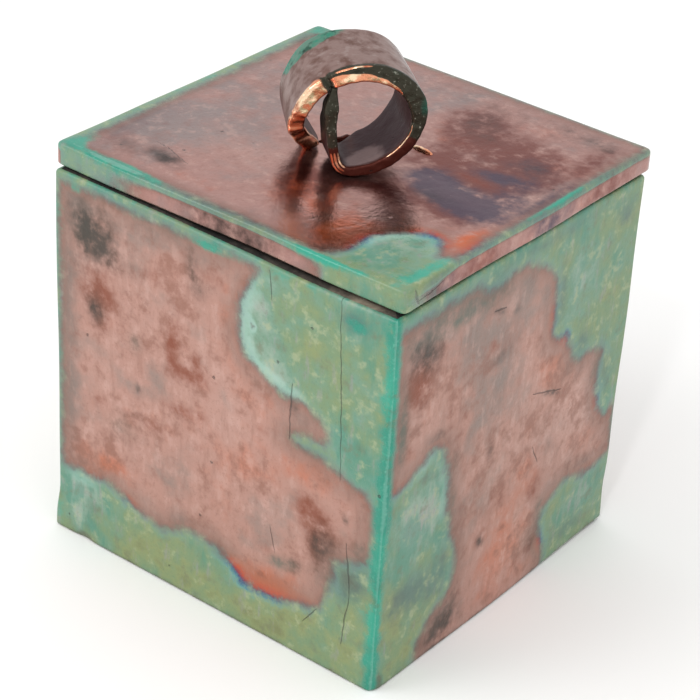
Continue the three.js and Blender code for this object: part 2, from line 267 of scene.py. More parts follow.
# Where the green glaze lies on each wall (outlines), what stands out in it (marks), in millimetres along
# the wall and up it. Marks are across, up, half width, half height, turn and strength.
frontWallGlaze = {
    "pours": [[
        (16, 112), (12.5, 105), (9, 99), (7.3, 93), (7.4, 87), (9.5, 82), (13, 79), (18, 76.3), (23, 74.5),
        (28, 75), (33, 73), (36.5, 69.5), (35, 66.8), (29, 65.8), (25, 64), (28, 62.2), (34, 61.8),
        (40, 60), (46, 58), (51, 55.5), (52.3, 48), (52, 40), (49, 37), (45, 36), (41, 33.5), (40.5, 28),
        (39.5, 23), (36.5, 17.5), (31, 16), (25, 14.6), (19, 13), (13, 13.4), (9.5, 15.4), (6, 18),
        (2, 19.6), (-3, 20.3), (-8, 20), (-13, 18.3), (-19, 17.4), (-26, 18.5), (-31, 20.5), (-36, 22),
        (-43, 21.5), (-54, 21), (-62, 22), (-62, -6), (62, -6), (62, 114),
    ]],
    "rimBand": 2.6,
    "cornerBand": 1.9,
    "cornerEdge": (0.5, 1.05, 6.4),  # turquoise on its left and right arris, and how wide (mm)
    "rimEdge": 0.45,
    "edgeMarks": [
        (-3, 106, 8, 1.6, 0, 0.6), (44, 103, 5, 3, 0, 1.0), (-48, 105, 3, 2, 0, 0.5),
        (46, 85, 4, 8, 0, 0.2),
    ],
    "islands": [(12, 90, 1.6, 2, 0, 5)],
    "fringe": [
        (17, 16, 10, 6, 12, 1.4), (11, 15, 4, 4, 0, 1.0), (-28, 20, 5, 4, 0, 0.45), (8, 95, 3, 8, 0, 0.35),
        (9, 82, 5, 4, 0, 0.3), (33, 18, 5, 4, 0, 0.3), (-42, 22, 8, 3, 0, 0.3),
    ],
    "pale": [
        (13, 92, 7, 12, 0, 0.9), (22, 80, 9, 5, -20, 0.8), (-46, 16, 7, 5, 0, 0.8), (-47, 7, 3, 4, 0, 1.0),
        (32, 90, 7, 8, 0, -0.5), (-15, 8, 20, 5, 0, -0.5), (10, 4, 25, 4, 0, -0.8),
        (47, 12, 4, 10, 0, -0.6), (30, 103, 5, 6, 0, -0.3), (44, 108.8, 14, 1.2, 0, 0.8),
        (5, 62, 12, 14, 0, 0.35), (20, 38, 6, 5, 0, 0.5), (-18, 78, 10, 8, 0, 0.25),
        (-40, 56, 8, 8, 0, 0.3), (22, 12, 16, 5, 0, -0.6),
    ],
    "warm": [
        (30, 56, 14, 8, 0, 0.8), (5, 55, 16, 12, 0, 0.35), (22, 18, 12, 5, 10, 1.2),
        (-35, 27, 14, 4, 0, 0.8), (12, 70, 10, 8, 0, 0.4), (3, 90, 4, 12, 0, 0.6),
        (-20, 88, 14, 10, 0, -0.3), (20, 38, 8, 7, 0, -0.3), (-35, 60, 10, 8, 0, -0.2),
        (-10, 35, 16, 8, 0, -0.15), (-42, 40, 8, 5, 0, -0.25), (5, 35, 6, 8, 0, 0.4),
        (-52, 60, 5, 40, 0, -0.5), (-20, 102, 30, 4, 0, -0.5),
    ],
    # The long thin mark at height 0 darkens the foot of the wall along the base.
    "soot": [
        (-43, 97, 8, 7, 0, 0.9), (-36, 90, 8, 5, 0, 0.35), (-41, 74, 4, 5, 0, 0.6), (-8, 98, 3, 7, 10, 0.4),
        (-5, 92, 4, 4, 0, 0.2), (37, 37, 4, 6, 0, 0.7), (46, 31, 5, 5, 0, 0.5), (26, 73, 1.5, 3, 0, 0.6),
        (-27, 47, 7, 3, 0, 0.22), (-30, 38, 9, 3, 0, 0.22), (-26, 56, 1.2, 1.6, 0, 0.7),
        (44, 47.5, 1, 2, 0, 0.5), (-42, 11, 3, 5, 0, 0.35), (47, 70, 2, 1.5, 0, 0.4),
        (30, 27, 7, 2.5, 15, 0.25), (-50, 30, 4, 8, 0, 0.15), (-27, 70, 3, 6, 0, 0.15),
        (-47, 84, 5, 5, 0, 0.25), (0, 0, 90, 0.7, 0, 0.8), (-44, 0.5, 2.5, 1.4, 0, 1.5),
    ],
    "rust": [
        (-14, 74, 2.2, 7, -8, 0.8), (-8, 67.5, 6, 2.4, 0, 0.9), (-6, 72, 2, 3, 0, 0.5),
        (-40, 78, 6, 5, 0, 0.9), (-38, 70, 5, 3, 0, 0.3), (-9, 56, 8, 1.8, 3, 0.6), (-22, 47, 6, 2, 0, 0.4),
        (-40, 46, 4, 3, 0, 0.35), (-22, 91, 4, 2, 0, 0.4), (34, 46, 6, 4, -30, 0.35),
        (37, 37, 4, 7, 0, 0.8), (31, 43, 5, 4, -40, 0.5), (-5, 47, 2.5, 1.5, 0, 0.5),
        (-40, 85, 8, 2, 0, 0.35), (18, 62, 5, 1.5, 0, 0.35), (19, 27, 3, 2, 0, 0.3), (-2, 97, 5, 3, 0, 0.3),
        (17, 16.5, 9, 3, 10, 0.4),
    ],
    "film": [
        (46, 30, 6, 6, 0, 0.9), (24, 25, 6, 2.2, 15, 0.55), (32, 62.5, 8, 2, 0, 0.6),
        (-44, 96, 6, 6, 0, 0.5), (-32, 42, 7, 4, 0, 0.25), (3, 19, 7, 2.5, 0, 0.5), (42, 27, 4, 4, 0, 0.5),
        (43, 104, 5, 3, 0, 0.9), (50, 38, 3, 6, 0, 0.6), (-27, 69, 3, 4, 0, 0.25),
        (-25, 107, 22, 2.5, 0, 0.6),
    ],
}

rightWallGlaze = {
    "pours": [
        [
            (-62, 60), (-50, 58.8), (-45, 60), (-40, 62.5), (-35, 64.6), (-31, 63), (-28, 58), (-26, 50),
            (-26, 42), (-24, 36), (-21.5, 28), (-21, 20), (-23, 15), (-29, 12.5), (-33, 8), (-35.5, 3),
            (-36, -6), (-62, -6),
        ],
        [
            (62, 114), (-62, 114), (-62, 104.5), (-40, 104.8), (-22, 104.3), (-16, 101.5), (-10, 101),
            (-5, 103), (2, 102), (7, 99), (12, 96), (15, 90), (15.5, 82), (15.5, 77), (18, 74), (22, 73),
            (24.5, 69), (26.5, 65), (30, 62.7), (34, 63.2), (39, 62), (40, 57), (40.5, 50), (42, 45),
            (45, 40), (48, 37.5), (50, 40), (62, 40),
        ],
        [
            (19, 19), (21, 21.5), (26, 23.5), (30, 25.5), (33, 24.5), (38, 23), (44, 22.5), (52, 24),
            (62, 24), (62, -6), (24, -6), (22.5, 4), (20.5, 9), (18.7, 14),
        ],
    ],
    "rimBand": 2.4,
    "cornerBand": 1.6,
    "cornerEdge": (1.0, 0.4, 4.4),
    "rimEdge": 0.3,
    "edgeMarks": [(-36, 105, 8, 2, 0, 0.3), (45, 72, 3, 3, 0, 0.4), (-50, 54, 2, 5, 0, 0.3)],
    "islands": [
        (43, 100, 4, 5, -30, 4.5), (47, 80, 3, 6, 0, 3), (46, 60, 5, 3, 0, 2.5), (46, 6, 4, 2, 0, 3.5),
    ],
    "fringe": [
        (14, 82, 4, 8, 0, 0.5), (22, 73, 5, 4, 0, 0.6), (20, 9, 4, 5, 0, 0.6), (-50, 59, 6, 3, 0, 0.4),
        (-34, 64, 5, 3, 0, 0.3), (42, 46, 4, 7, 0, 0.5), (42, 24, 10, 3, 0, 0.3),
    ],
    "pale": [
        (-37, 47, 9, 10, 0, 1.0), (28, 88, 8, 8, 0, 0.6), (27, 78, 6, 3, 0, 0.6), (36, 16, 10, 6, 0, 0.5),
        (-46, 16, 4, 9, 0, -0.7), (-40, 7, 6, 5, 0, -0.5), (38, 74, 6, 4, 0, -0.3), (32, 20, 8, 4, 0, -0.4),
        (30, 47, 10, 11, 0, 0.9), (2, 14, 9, 14, -20, 0.7), (8, 62, 8, 14, 0, 0.3),
        (-38, 66, 6, 8, -20, 0.4),
    ],
    "warm": [
        (-2, 16, 11, 13, -20, 1.5), (15, 66, 7, 5, 0, 0.7), (-44, 66, 4, 5, 0, 0.6),
        (-14, 45, 12, 30, 0, -0.35), (-18, 82, 12, 14, 0, -0.7), (25, 48, 16, 8, 0, -0.2),
        (-33, 75, 6, 6, 0, 0.1), (8, 34, 10, 6, 0, 0.6), (-24, 60, 4, 14, 0, 0.3), (5, 88, 8, 10, 0, -0.3),
        (38, 36, 8, 5, 0, 0.5), (14, 4, 7, 4, 0, 0.5),
    ],
    # The long thin mark at height 0 darkens the foot of the wall along the base.
    "soot": [
        (-25, 7, 9, 6, 20, 0.75), (-50.6, 2, 0.9, 2.4, 0, 2.5), (0, 0, 90, 0.7, 0, 0.7),
        (-42, 95, 6, 6, 0, 0.6), (-36, 92, 5, 5, 0, 0.25), (-8, 80, 6, 3, 0, 0.3), (-42, 78, 3, 8, 0, 0.2),
        (-8, 65, 3, 10, 0, 0.2), (21, 38, 4, 12, 20, 0.2), (-10, 25, 1.6, 2.4, 30, 0.7),
        (17, 58, 5, 0.8, -22, 0.8), (-11, 94, 4, 0.9, -20, 0.6), (-3, 92, 2, 2, 0, 0.4),
        (-34, 68, 5, 2, 0, 0.3), (-9, 52, 2, 3, 0, 0.3), (40, 27, 8, 2, 0, 0.25), (-45, 25, 5, 5, 0, 0.2),
        (16, 12, 4, 3, 30, 0.3),
    ],
    "rust": [
        (-43, 87, 5, 7, 0, 1.1), (-34, 94, 5, 2, 0, 0.2), (-24, 62, 6, 18, 12, 0.25),
        (-6, 84, 10, 5, 0, 0.3), (14, 30, 4, 5, 0, 0.6), (-5, 34, 8, 5, 0, 0.35), (16, 11, 5, 3, 30, 0.9),
        (-38, 5, 4, 3, -20, 0.8), (-28, 4, 8, 4, 0, 0.4), (-20, 38, 4, 8, 0, 0.2), (-10, 26, 3, 3, 0, 0.5),
        (-46, 68, 4, 3, 0, 0.3), (13, 42, 3, 1.2, 60, 0.4), (45, 101, 4, 3, 0, 0.4),
        (8, 60, 4, 0.8, -15, 0.5), (46, 27, 4, 1.5, 0, 0.3),
    ],
    "film": [
        (-40, 24, 9, 6, 0, 0.9), (-28, 22, 6, 8, 0, 0.5), (30, 67, 4, 5, 0, 0.8), (44, 52, 4, 8, 0, 0.6),
        (34, 6, 9, 3, 0, 0.6), (-35, 57, 6, 2, -15, 0.4), (17, 84, 3, 8, 0, 0.5), (-13, 102, 7, 3, 0, 0.7),
        (-34, 105, 12, 3, 0, 0.8), (46, 20, 4, 5, 0, 0.3), (45, 101, 5, 4, 0, 0.7),
        (10, 106, 30, 3, 0, 0.5), (-25, 42, 3, 16, 0, 0.5), (17, 88, 3, 9, 0, 0.6), (40, 58, 3, 9, 0, 0.5),
        (18, 17, 2.5, 8, 0, 0.6), (-28, 99, 24, 3.5, 0, 0.6), (-49, 76, 3, 14, 0, 0.6),
    ],
}

backWallGlaze = {
    "pours": [
        [
            (-62, 114), (-62, 60), (-50, 63), (-42, 70), (-38, 80), (-28, 88), (-14, 90), (-6, 97),
            (4, 101), (18, 99), (30, 103), (62, 102), (62, 114),
        ],
        [
            (62, 34), (48, 36), (39, 30), (36, 21), (26, 16), (12, 17), (2, 12), (-10, 9), (-24, 13),
            (-38, 10), (-62, 12), (-62, -6), (62, -6),
        ],
        [(5, 56), (8, 64), (15, 70), (23, 66), (31, 63), (30, 55), (22, 53), (17, 44), (9, 47)],
    ],
    "rimBand": 3.0,
    "cornerBand": 1.9,
    "cornerEdge": (0.5, 0.6, 4.4),
    "rimEdge": 0.45,
    "edgeMarks": [(10, 105, 9, 2, 0, 0.5), (-30, 106, 5, 2, 0, 0.4)],
    "islands": [(-50, 90, 4, 8, 0, 3), (44, 12, 5, 3, 0, 4)],
    "fringe": [
        (-36, 82, 8, 8, 0, 0.8), (36, 22, 8, 6, 0, 1.0), (0, 97, 8, 4, 0, 0.4), (18, 48, 8, 4, 0, 0.6),
    ],
    "pale": [
        (-48, 78, 8, 12, 0, 0.8), (46, 24, 6, 8, 0, 0.8), (0, 5, 30, 4, 0, -0.7), (18, 56, 6, 6, 0, 0.7),
    ],
    "warm": [
        (30, 40, 12, 8, 0, 0.8), (-30, 68, 12, 8, 0, 0.5), (0, 30, 20, 12, 0, -0.4),
        (-20, 25, 12, 8, 0, 0.6),
    ],
    "soot": [
        (40, 80, 12, 8, 20, 0.5), (-20, 50, 8, 4, 0, 0.3), (0, 76, 4, 9, 0, 0.3), (-44, 30, 6, 6, 0, 0.4),
    ],
    "rust": [
        (36, 72, 8, 5, 0, 0.6), (-8, 44, 8, 2, 10, 0.6), (10, 30, 3, 5, 0, 0.5), (-30, 40, 4, 6, 20, 0.5),
    ],
    "film": [
        (-30, 84, 8, 4, 30, 0.6), (30, 18, 8, 4, 0, 0.6), (48, 60, 5, 9, 0, 0.5), (-10, 14, 10, 3, 0, 0.5),
    ],
}

leftWallGlaze = {
    "pours": [
        [
            (62, 22), (50, 21), (40, 24), (30, 32), (22, 44), (12, 50), (0, 47), (-6, 38), (-8, 26),
            (-16, 18), (-28, 17), (-40, 21), (-62, 20), (-62, -6), (62, -6),
        ],
        [
            (-62, 114), (-62, 88), (-48, 86), (-38, 92), (-30, 100), (-10, 104), (20, 103), (40, 105),
            (62, 103), (62, 114),
        ],
    ],
    "rimBand": 3.0,
    "cornerBand": 1.9,
    "cornerEdge": (0.5, 0.6, 4.4),
    "rimEdge": 0.45,
    "edgeMarks": [(10, 105, 9, 2, 0, 0.5), (-30, 106, 5, 2, 0, 0.4)],
    "islands": [(20, 26, 7, 5, 20, 7), (-44, 10, 5, 4, 0, 4)],
    "fringe": [(20, 44, 8, 6, 0, 0.8), (-8, 30, 4, 8, 0, 0.7), (-38, 92, 6, 5, 0, 0.6)],
    "pale": [
        (12, 42, 10, 5, 0, 0.9), (-50, 96, 8, 8, 0, 0.8), (-20, 8, 20, 5, 0, -0.7), (40, 10, 8, 6, 0, 0.6),
    ],
    "warm": [
        (-20, 60, 14, 10, 0, 0.7), (30, 60, 12, 9, 0, 0.6), (0, 80, 18, 10, 0, -0.4),
        (-30, 30, 12, 8, 0, 0.5),
    ],
    "soot": [
        (36, 90, 10, 8, 0, 0.6), (-10, 70, 5, 8, 0, 0.3), (-42, 50, 8, 6, 0, 0.35), (10, 88, 5, 3, 0, 0.3),
    ],
    "rust": [
        (28, 84, 8, 4, 0, 0.6), (0, 62, 8, 2.5, 0, 0.7), (-30, 72, 4, 6, 0, 0.5), (-20, 40, 6, 2, 0, 0.4),
    ],
    "film": [
        (-30, 96, 10, 4, 20, 0.6), (-14, 22, 6, 4, 0, 0.6), (44, 40, 6, 8, 0, 0.5), (0, 52, 9, 3, 0, 0.4),
    ],
}


def greenDistance(u, v, look):
    pour = np.min([outlineDistance(u, v, outline) for outline in look["pours"]], axis=0)
    return pour + spots(u, v, look["islands"])


rimSwell = [(0, 106, 14, 4, 0, 1)]  # the band under the rim is narrower in the middle of each wall


def paintWall(wall, length, u, depth, profile, look):
    u, depth = u.ravel(), depth.ravel()
    stations = len(u) // len(profile)
    section = np.tile(np.arange(len(profile)), stations)
    slabDepth, z = profile[section].T
    fromCorner = length / 2 - np.abs(u)
    fromRim = np.maximum(wallHeight - z, 0)
    pour = greenDistance(u, z, look)
    pour = np.minimum(pour, fromCorner - look["cornerBand"])
    pour = np.minimum(pour, fromRim - look["rimBand"] + 0.6 * spots(u, z, rimSwell))
    pale = spots(u, z, look["pale"])
    warm = spots(u, z, look["warm"])
    soot = spots(u, z, look["soot"])
    rust = spots(u, z, look["rust"])
    film = spots(u, z, look["film"])
    leftEdge, rightEdge, reach = look["cornerEdge"]
    edge = np.where(u < 0, leftEdge, rightEdge) * (1 - fromCorner / reach)
    edge = np.maximum(edge, look["rimEdge"] * (1 - fromRim / 4.5)) + spots(u, z, look["edgeMarks"])
    onRim = ease(slabDepth, 0.7, 1.6) * (z > wallHeight - 3)
    inside = ease(slabDepth, wallThick - 0.6, wallThick) * (z < wallHeight - 1)
    under = ease(slabDepth, 0.2, 1.2) * (z < 1.5)
    bare = np.maximum.reduce([onRim, inside, under])
    paint(wall, "glazeFlow", pour, spots(u, z, look["fringe"]), pale)
    paint(wall, "glazeTint", warm, soot, rust)
    paint(wall, "glazeSkin", film, np.clip(edge, 0, 1), bare)


chips = [
    {"place": (55.2, -52.6, 1.5), "size": (1.4, 2.2, 4.2), "depth": 0.9},  # foot of the front right corner
    {"place": (-44.5, -53, 0), "size": (3, 2, 1.1), "depth": 0.7},  # front edge of the base
]


def chipCorner(points):
    # flakes broken out of the foot
    for chip in chips:
        place = np.array(chip["place"])
        away = (points - place) / np.array(chip["size"])
        share = np.exp(-np.sum(away ** 2, axis=1) * 1.6)
        inward = unit(np.array([[-place[0], -place[1], 0.0]]))
        points = points + share[:, None] * inward * chip["depth"]
    return points


wallLooks = [
    ("frontWall", "front_wall", 2 * halfX, halfY, 0, frontWallGlaze),
    ("rightWall", "right_wall", 2 * halfY, halfX, 1, rightWallGlaze),
    ("backWall", "back_wall", 2 * halfX, halfY, 2, backWallGlaze),
    ("leftWall", "left_wall", 2 * halfY, halfX, 3, leftWallGlaze),
]


def buildWalls():
    shaped = []
    for name, node, length, reach, quarter, look in wallLooks:
        grid, u, v, profile = wallPoints(length, reach, quarter)
        stations, around = u.shape
        points = settleBody(grid.reshape(-1, 3))
        points = chipCorner(points)
        faces = outward(points, loftFaces(stations, around))
        shaped.append([points, faces, pointNormals(points, faces), around, u, v, profile])
    made = []
    for number, (name, node, length, reach, quarter, look) in enumerate(wallLooks):
        points, faces, normals, around, u, v, profile = shaped[number]
        following = shaped[(number + 1) % 4]
        joined = normals[-around:] + following[2][:around]
        normals[-around:] = joined
        following[2][:around] = joined
    for number, (name, node, length, reach, quarter, look) in enumerate(wallLooks):
        points, faces, normals, around, u, v, profile = shaped[number]
        wall = toMesh(name, points, faces, unit(normals))
        paintWall(wall, length, u, v, profile, look)
        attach(wall, "box")
        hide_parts(node)
        made.append(wall)
    return made


wallPieces = buildWalls()
print("walls built")


# flat slabs: the lid, its locating strips and the floor

def spread(half, arris, pitch):
    # places across a slab: close together over the rounded edges, then evenly
    turns = np.radians(np.linspace(0, 90, 5))
    edge = arris * (1 - np.cos(turns))
    count = max(2, round(2 * (half - arris) / pitch))
    middle = np.linspace(-half + arris, half - arris, count + 1)
    return np.concatenate([-half + edge[:-1], middle, half - edge[:-1][::-1]])


def slabPoints(low, high, cornerRadius, arris, pitch, arrisBelow=None):
    # a slab with rounded corners and edges; its first half is the top, then the side rows, then the underside
    low, high = np.array(low), np.array(high)
    centre, half = (low + high) / 2, (high - low) / 2
    xs, ys = spread(half[0], arris, pitch), spread(half[1], arris, pitch)
    x, y = [axis.ravel() for axis in np.meshgrid(xs, ys, indexing="ij")]
    inset = np.minimum(half[0] - np.abs(x), half[1] - np.abs(y))
    bend = np.maximum(cornerRadius - inset, 0)
    innerX = np.clip(x, -(half[0] - inset - bend), half[0] - inset - bend)
    innerY = np.clip(y, -(half[1] - inset - bend), half[1] - inset - bend)
    off = np.stack([x - innerX, y - innerY], 1)
    off = unit(off) * np.max(np.abs(off), axis=1, keepdims=True)
    arrisBelow = arrisBelow or arris

    def roundOver(radius):
        return radius - np.sqrt(np.maximum(radius ** 2 - np.maximum(radius - inset, 0) ** 2, 0))

    flatPlan = [innerX + off[:, 0], innerY + off[:, 1]]
    topSide = np.stack(flatPlan + [half[2] - roundOver(arris)], 1)
    underside = np.stack(flatPlan + [roundOver(arrisBelow) - half[2]], 1)
    wide, deep = len(xs), len(ys)
    grid = np.arange(wide * deep).reshape(wide, deep)
    rim = np.concatenate([grid[:-1, 0], grid[-1, :-1], grid[:0:-1, -1], grid[0, :0:-1]])
    sideHeight = 2 * half[2] - arris - arrisBelow
    rows = max(1, round(sideHeight / pitch))
    heights = [half[2] - arris - sideHeight * k / rows for k in range(1, rows)]
    sides = [np.column_stack([topSide[rim, :2], np.full(len(rim), height)]) for height in heights]
    points = np.concatenate([topSide, underside] + sides) + centre
    quads = np.stack([grid[:-1, :-1], grid[1:, :-1], grid[1:, 1:], grid[:-1, 1:]], -1).reshape(-1, 4)
    faces = quads.tolist() + (quads[:, ::-1] + wide * deep).tolist()
    rings = [rim] + [2 * wide * deep + k * len(rim) + np.arange(len(rim)) for k in range(rows - 1)]
    rings.append(rim + wide * deep)
    for upper, lower in zip(rings, rings[1:]):
        band = np.stack([upper, lower, np.roll(lower, -1), np.roll(upper, -1)], -1)
        faces += band.tolist()
    return points, faces


lidShape = {
    "cornerRadius": 1.9,
    "arris": 1.1,
    "arrisBelow": 0.6,
    "pitch": 1.1,
    "drawIn": 0.12,
    "waver": 0.25,
}


def settleLid(points):
    # the lid's own unevenness; it fades towards the middle, where the handle stands
    s = lidShape
    points = np.asarray(points, float)
    x, y, z = points.T
    middle = (lidLow + lidHigh) / 2
    half = (lidHigh - lidLow) / 2
    sideX, sideY = (x - middle[0]) / half[0], (y - middle[1]) / half[1]
    inX = s["drawIn"] + s["waver"] * 1.5 * lumps(np.stack([np.sign(sideX) * 60, y, 0 * z], 1), 24, 6)
    inY = s["drawIn"] + s["waver"] * 1.5 * lumps(np.stack([x, np.sign(sideY) * 60, 0 * z], 1), 24, 7)
    inX, inY = np.maximum(inX, 0.02), np.maximum(inY, 0.02)
    rim = ease(np.maximum(np.abs(sideX), np.abs(sideY)), 0.5, 1.0)
    wave = 0.16 + 0.3 * lumps(np.stack([x, y, 0 * z], 1), 30, 8)
    drop = np.clip(wave, 0, 1) * rim * (1 - 0.85 * ease(sideY, 0.2, 1.0))
    return np.stack([x - sideX * inX, y - sideY * inY, z - drop], 1)


lidGlaze = {
    "pours": [[
        (27, -62), (28, -50.5), (31, -46), (32.5, -41), (31.5, -37), (34, -31.5), (38, -27.5), (43, -24),
        (47, -25.5), (49.5, -29.5), (52.5, -31), (62, -27), (62, -62),
    ]],
    "islands": [],
    "leftBand": 4.0,
    "frontBand": 2.0,
    "rightBand": 1.3,
    "backBand": 1.2,
    "copperFront": [(-12, 112, 17, 9, 0, 1), (14, 112, 14, 9, 0, 1)],
    "copperRight": [(-24, 112, 32, 9, 0, 1.5), (34, 112, 24, 9, 0, 1)],
    "fringe": [(32, -38, 5, 7, 0, 1.0), (42, -25, 8, 4, 0, 0.9), (52, -22, 4, 8, 0, 0.6)],
    "pale": [
        (40, -34, 8, 7, 0, 0.9), (50, -45, 5, 6, 0, -0.3), (50, 8, 4, 8, 0, 0.8),
        (-18, -22, 16, 8, 0, 0.45), (26, -35, 6, 5, -20, 0.4),
    ],
    # The first three marks, in front of the handle, are partly copper flash and partly a painted reflection
    # of the handle's copper face.
    "warm": [
        (26, -36, 8, 9, -20, 1.9), (13, -33, 5, 8, 20, 0.9), (2, -26, 5, 10, 25, 1.1),
        (-18, -42, 8, 4, 0, 0.4), (51, -20, 3, 8, 0, 1.4), (-45, -30, 12, 16, 0, -1.0),
        (-28, -14, 16, 12, 0, -0.5), (35, 6, 10, 1.8, -8, 0.9), (0, 45, 20, 8, 0, -0.3),
        (30, 30, 14, 8, 0, 0.35), (-40, 15, 12, 20, 0, -0.5), (0, -42, 8, 6, 0, 0.2),
    ],
    "soot": [
        (-30, -38, 6, 3, -20, 0.6), (-40, -40, 10, 4, 0, 0.3), (18, 30, 9, 7, -20, 0.3),
        (40, 22, 7, 6, 0, 0.3), (-38, 12, 10, 10, 0, 0.15), (46, 46, 6, 4, 0, 0.3),
        (-20, -7, 8, 5, 0, 0.15), (14, 36, 4, 5, 0, 0.25), (5, -46, 4, 3, 0, 0.2), (30, -8, 8, 5, 0, 0.25),
        (-50, 46, 6, 6, 0, 0.9), (10, 46, 34, 6, 0, 0.2), (2, -50.2, 20, 1.3, 0, 1.0),
        (35, 46, 10, 5, 0, 0.2),
    ],
    # The marks at (20, -12) and (2, -22), in front of and under the handle, are partly rust and partly
    # painted shadow and reflection of the handle.
    "rust": [
        (14, 34, 9, 8, 0, 0.8), (34, 27, 15, 10, 0, 0.8), (40, 18, 9, 9, 0, 0.8), (50, 38, 4, 9, 0, 0.6),
        (30, 8, 14, 7, 0, 0.8), (38, -12, 10, 6, 0, 0.8), (20, -12, 10, 9, 0, 0.65),
        (-24, 20, 5, 4, 0, 0.3), (2, -22, 7, 10, 30, 0.9), (-32, -4, 5, 3, 0, 0.2),
        (35, 5, 9, 2.2, -8, 0.7), (-22, -53.4, 12, 0.8, 0, 0.5), (6, -53.4, 9, 0.8, 0, 0.4),
        (56, -22, 0.9, 14, 0, 0.5), (56, 34, 0.9, 12, 0, 0.4), (16, 10, 8, 8, 0, 0.6),
        (20, 24, 8, 6, 0, 0.5),
    ],
    "film": [
        (30, -3, 10, 5, -8, 1.4), (42, -6, 9, 6, 0, 1.1), (38, 12, 9, 3, 10, 0.8), (46, 4, 6, 5, 0, 0.7),
        (40, 22, 8, 7, 0, 0.4), (53, 14, 2, 12, 0, 0.8), (-50, -30, 6, 20, 0, 0.25), (24, 2, 5, 4, 0, 0.5),
        (-32, -53.4, 10, 0.8, 0, 0.6), (12, -53.4, 8, 0.8, 0, 0.5), (56, -38, 0.9, 7, 0, 0.7),
        (56, 8, 0.9, 8, 0, 0.6),
    ],
    "edgeMarks": [
        (-37, -49.4, 17, 1.9, 0, 1.3), (-52, -45, 3, 5, 0, 0.7), (40, -50.5, 12, 0.9, 0, 0.5),
        (53, -38, 2.2, 9, 0, 0.9), (54.6, 14, 1.1, 26, 0, 0.8), (-55, 0, 1.6, 40, 0, 0.4),
        (-53, 51, 5, 5, 0, 0.8), (26, -50.8, 12, 1.0, 0, 0.8), (50, -46, 4, 3, 40, 0.5),
        (30, 53, 20, 1.0, 0, 0.4),
    ],
}


def buildLidSlab():
    s = lidShape
    points, faces = slabPoints(lidLow, lidHigh, s["cornerRadius"], s["arris"], s["pitch"], s["arrisBelow"])
    x, y, z = points.T
    settled = settleLid(points)
    lid = toMesh("lidSlab", settled, outward(settled, faces))
    look = lidGlaze
    toLeft, toRight = x - lidLow[0], lidHigh[0] - x
    toFront, toBack = y - lidLow[1], lidHigh[1] - y
    pour = greenDistance(x, y, look)
    for gap, side in ((toLeft, "left"), (toFront, "front"), (toRight, "right"), (toBack, "back")):
        pour = np.minimum(pour, gap - look[side + "Band"])
    side = np.minimum.reduce([toLeft, toRight, toFront, toBack])
    below = np.clip((lidTop - 1.2 - z) / 1.5, 0, 1) * (side < 1.2)
    # on the edge faces copper shows again between the corners
    middleFront = spots(x, z, look["copperFront"]) * (toFront < 1.5)
    middleRight = spots(y, z, look["copperRight"]) * (toRight < 1.5)
    otherSides = (0.5 + 1.3 * lumps(points, 26, 5)) * ((toBack < 1.5) | (toLeft < 1.5))
    pour = pour + below * 9 * np.clip(np.maximum.reduce([middleFront, middleRight, otherSides]), 0, 1)
    edge = spots(x, y, look["edgeMarks"]) * (1 - 0.75 * below)
    bare = ease(lidLow[2] + 1.1 - z, 0, 0.8) * ease(side, 0.4, 2.2)
    paint(lid, "glazeFlow", pour, spots(x, y, look["fringe"]), spots(x, y, look["pale"]))
    paint(lid, "glazeTint", spots(x, y, look["warm"]), spots(x, y, look["soot"]), spots(x, y, look["rust"]))
    paint(lid, "glazeSkin", spots(x, y, look["film"]), np.clip(edge, 0, 1), bare)
    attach(lid, "lid")
    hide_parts("lid_slab")
    return lid


lidSlab = buildLidSlab()
print("lid built")

clayParts = {
    "pitch": 2.2,
    "arris": 1.0,
    "stripCorner": 1.4,
    "thumb": 0.22,  # depth of the thumb marks in the coils and strips
}


def buildClaySlab(name, node, body, settleWith, seed):
    low, high = boxOf(node)
    c = clayParts
    points, faces = slabPoints(low, high, c["stripCorner"], c["arris"], c["pitch"])
    push = 0.12 + c["thumb"] * lumps(points, 7, seed)
    middle = (low + high) / 2
    points = points - (points - middle) / np.max(np.abs(points - middle)) * np.maximum(push, 0)[:, None]
    points = settleWith(points)
    slab = toMesh(name, points, outward(points, faces))
    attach(slab, body)
    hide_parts(node)
    return slab


clayPieces = [buildClaySlab("floorSlab", "floor_slab", "box", settleBody, 11)]
for seed, side in enumerate(("Front", "Back", "Left", "Right")):
    node = "key_strip_" + side.lower()
    clayPieces.append(buildClaySlab("keyStrip" + side, node, "lid", np.array, 12 + seed))


def coilSection(leg, steps=7):
    # a hollow fillet with its square corner at the origin
    turns = np.radians(np.linspace(-90, -180, steps + 1))
    hollow = [(leg + 0.84 * leg * math.cos(t), leg + 0.84 * leg * math.sin(t)) for t in turns]
    backs = [(0, leg), (0, 0.5 * leg), (0, 0), (0.5 * leg, 0), (leg, 0)]
    return np.array(hollow + backs)


def buildCoil(name, node, along, signs, seed):
    # along is the axis that the coil runs along; signs point from its square corner to its hollow face
    low, high = boxOf(node)
    across = [axis for axis in range(3) if axis != along]
    leg = high[across[0]] - low[across[0]]
    section = coilSection(leg)
    count = round((high[along] - low[along]) / clayParts["pitch"])
    places = np.linspace(low[along], high[along], count + 1)
    corner = [low[axis] if sign > 0 else high[axis] for axis, sign in zip(across, signs)]
    points = np.zeros((len(places), len(section), 3))
    points[:, :, along] = places[:, None]
    for column, (axis, sign) in enumerate(zip(across, signs)):
        points[:, :, axis] = corner[column] + sign * section[:, column]
    points = points.reshape(-1, 3)
    pressed = clayParts["thumb"] * (0.6 + lumps(points, 6, seed))
    for column, (axis, sign) in enumerate(zip(across, signs)):
        fromCorner = np.tile(section[:, column] / leg, len(places))
        points[:, axis] -= sign * fromCorner * np.maximum(pressed, 0)
    points = settleBody(points)
    coil = toMesh(name, points, outward(points, loftFaces(len(places), len(section))))
    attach(coil, "box")
    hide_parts(node)
    return coil


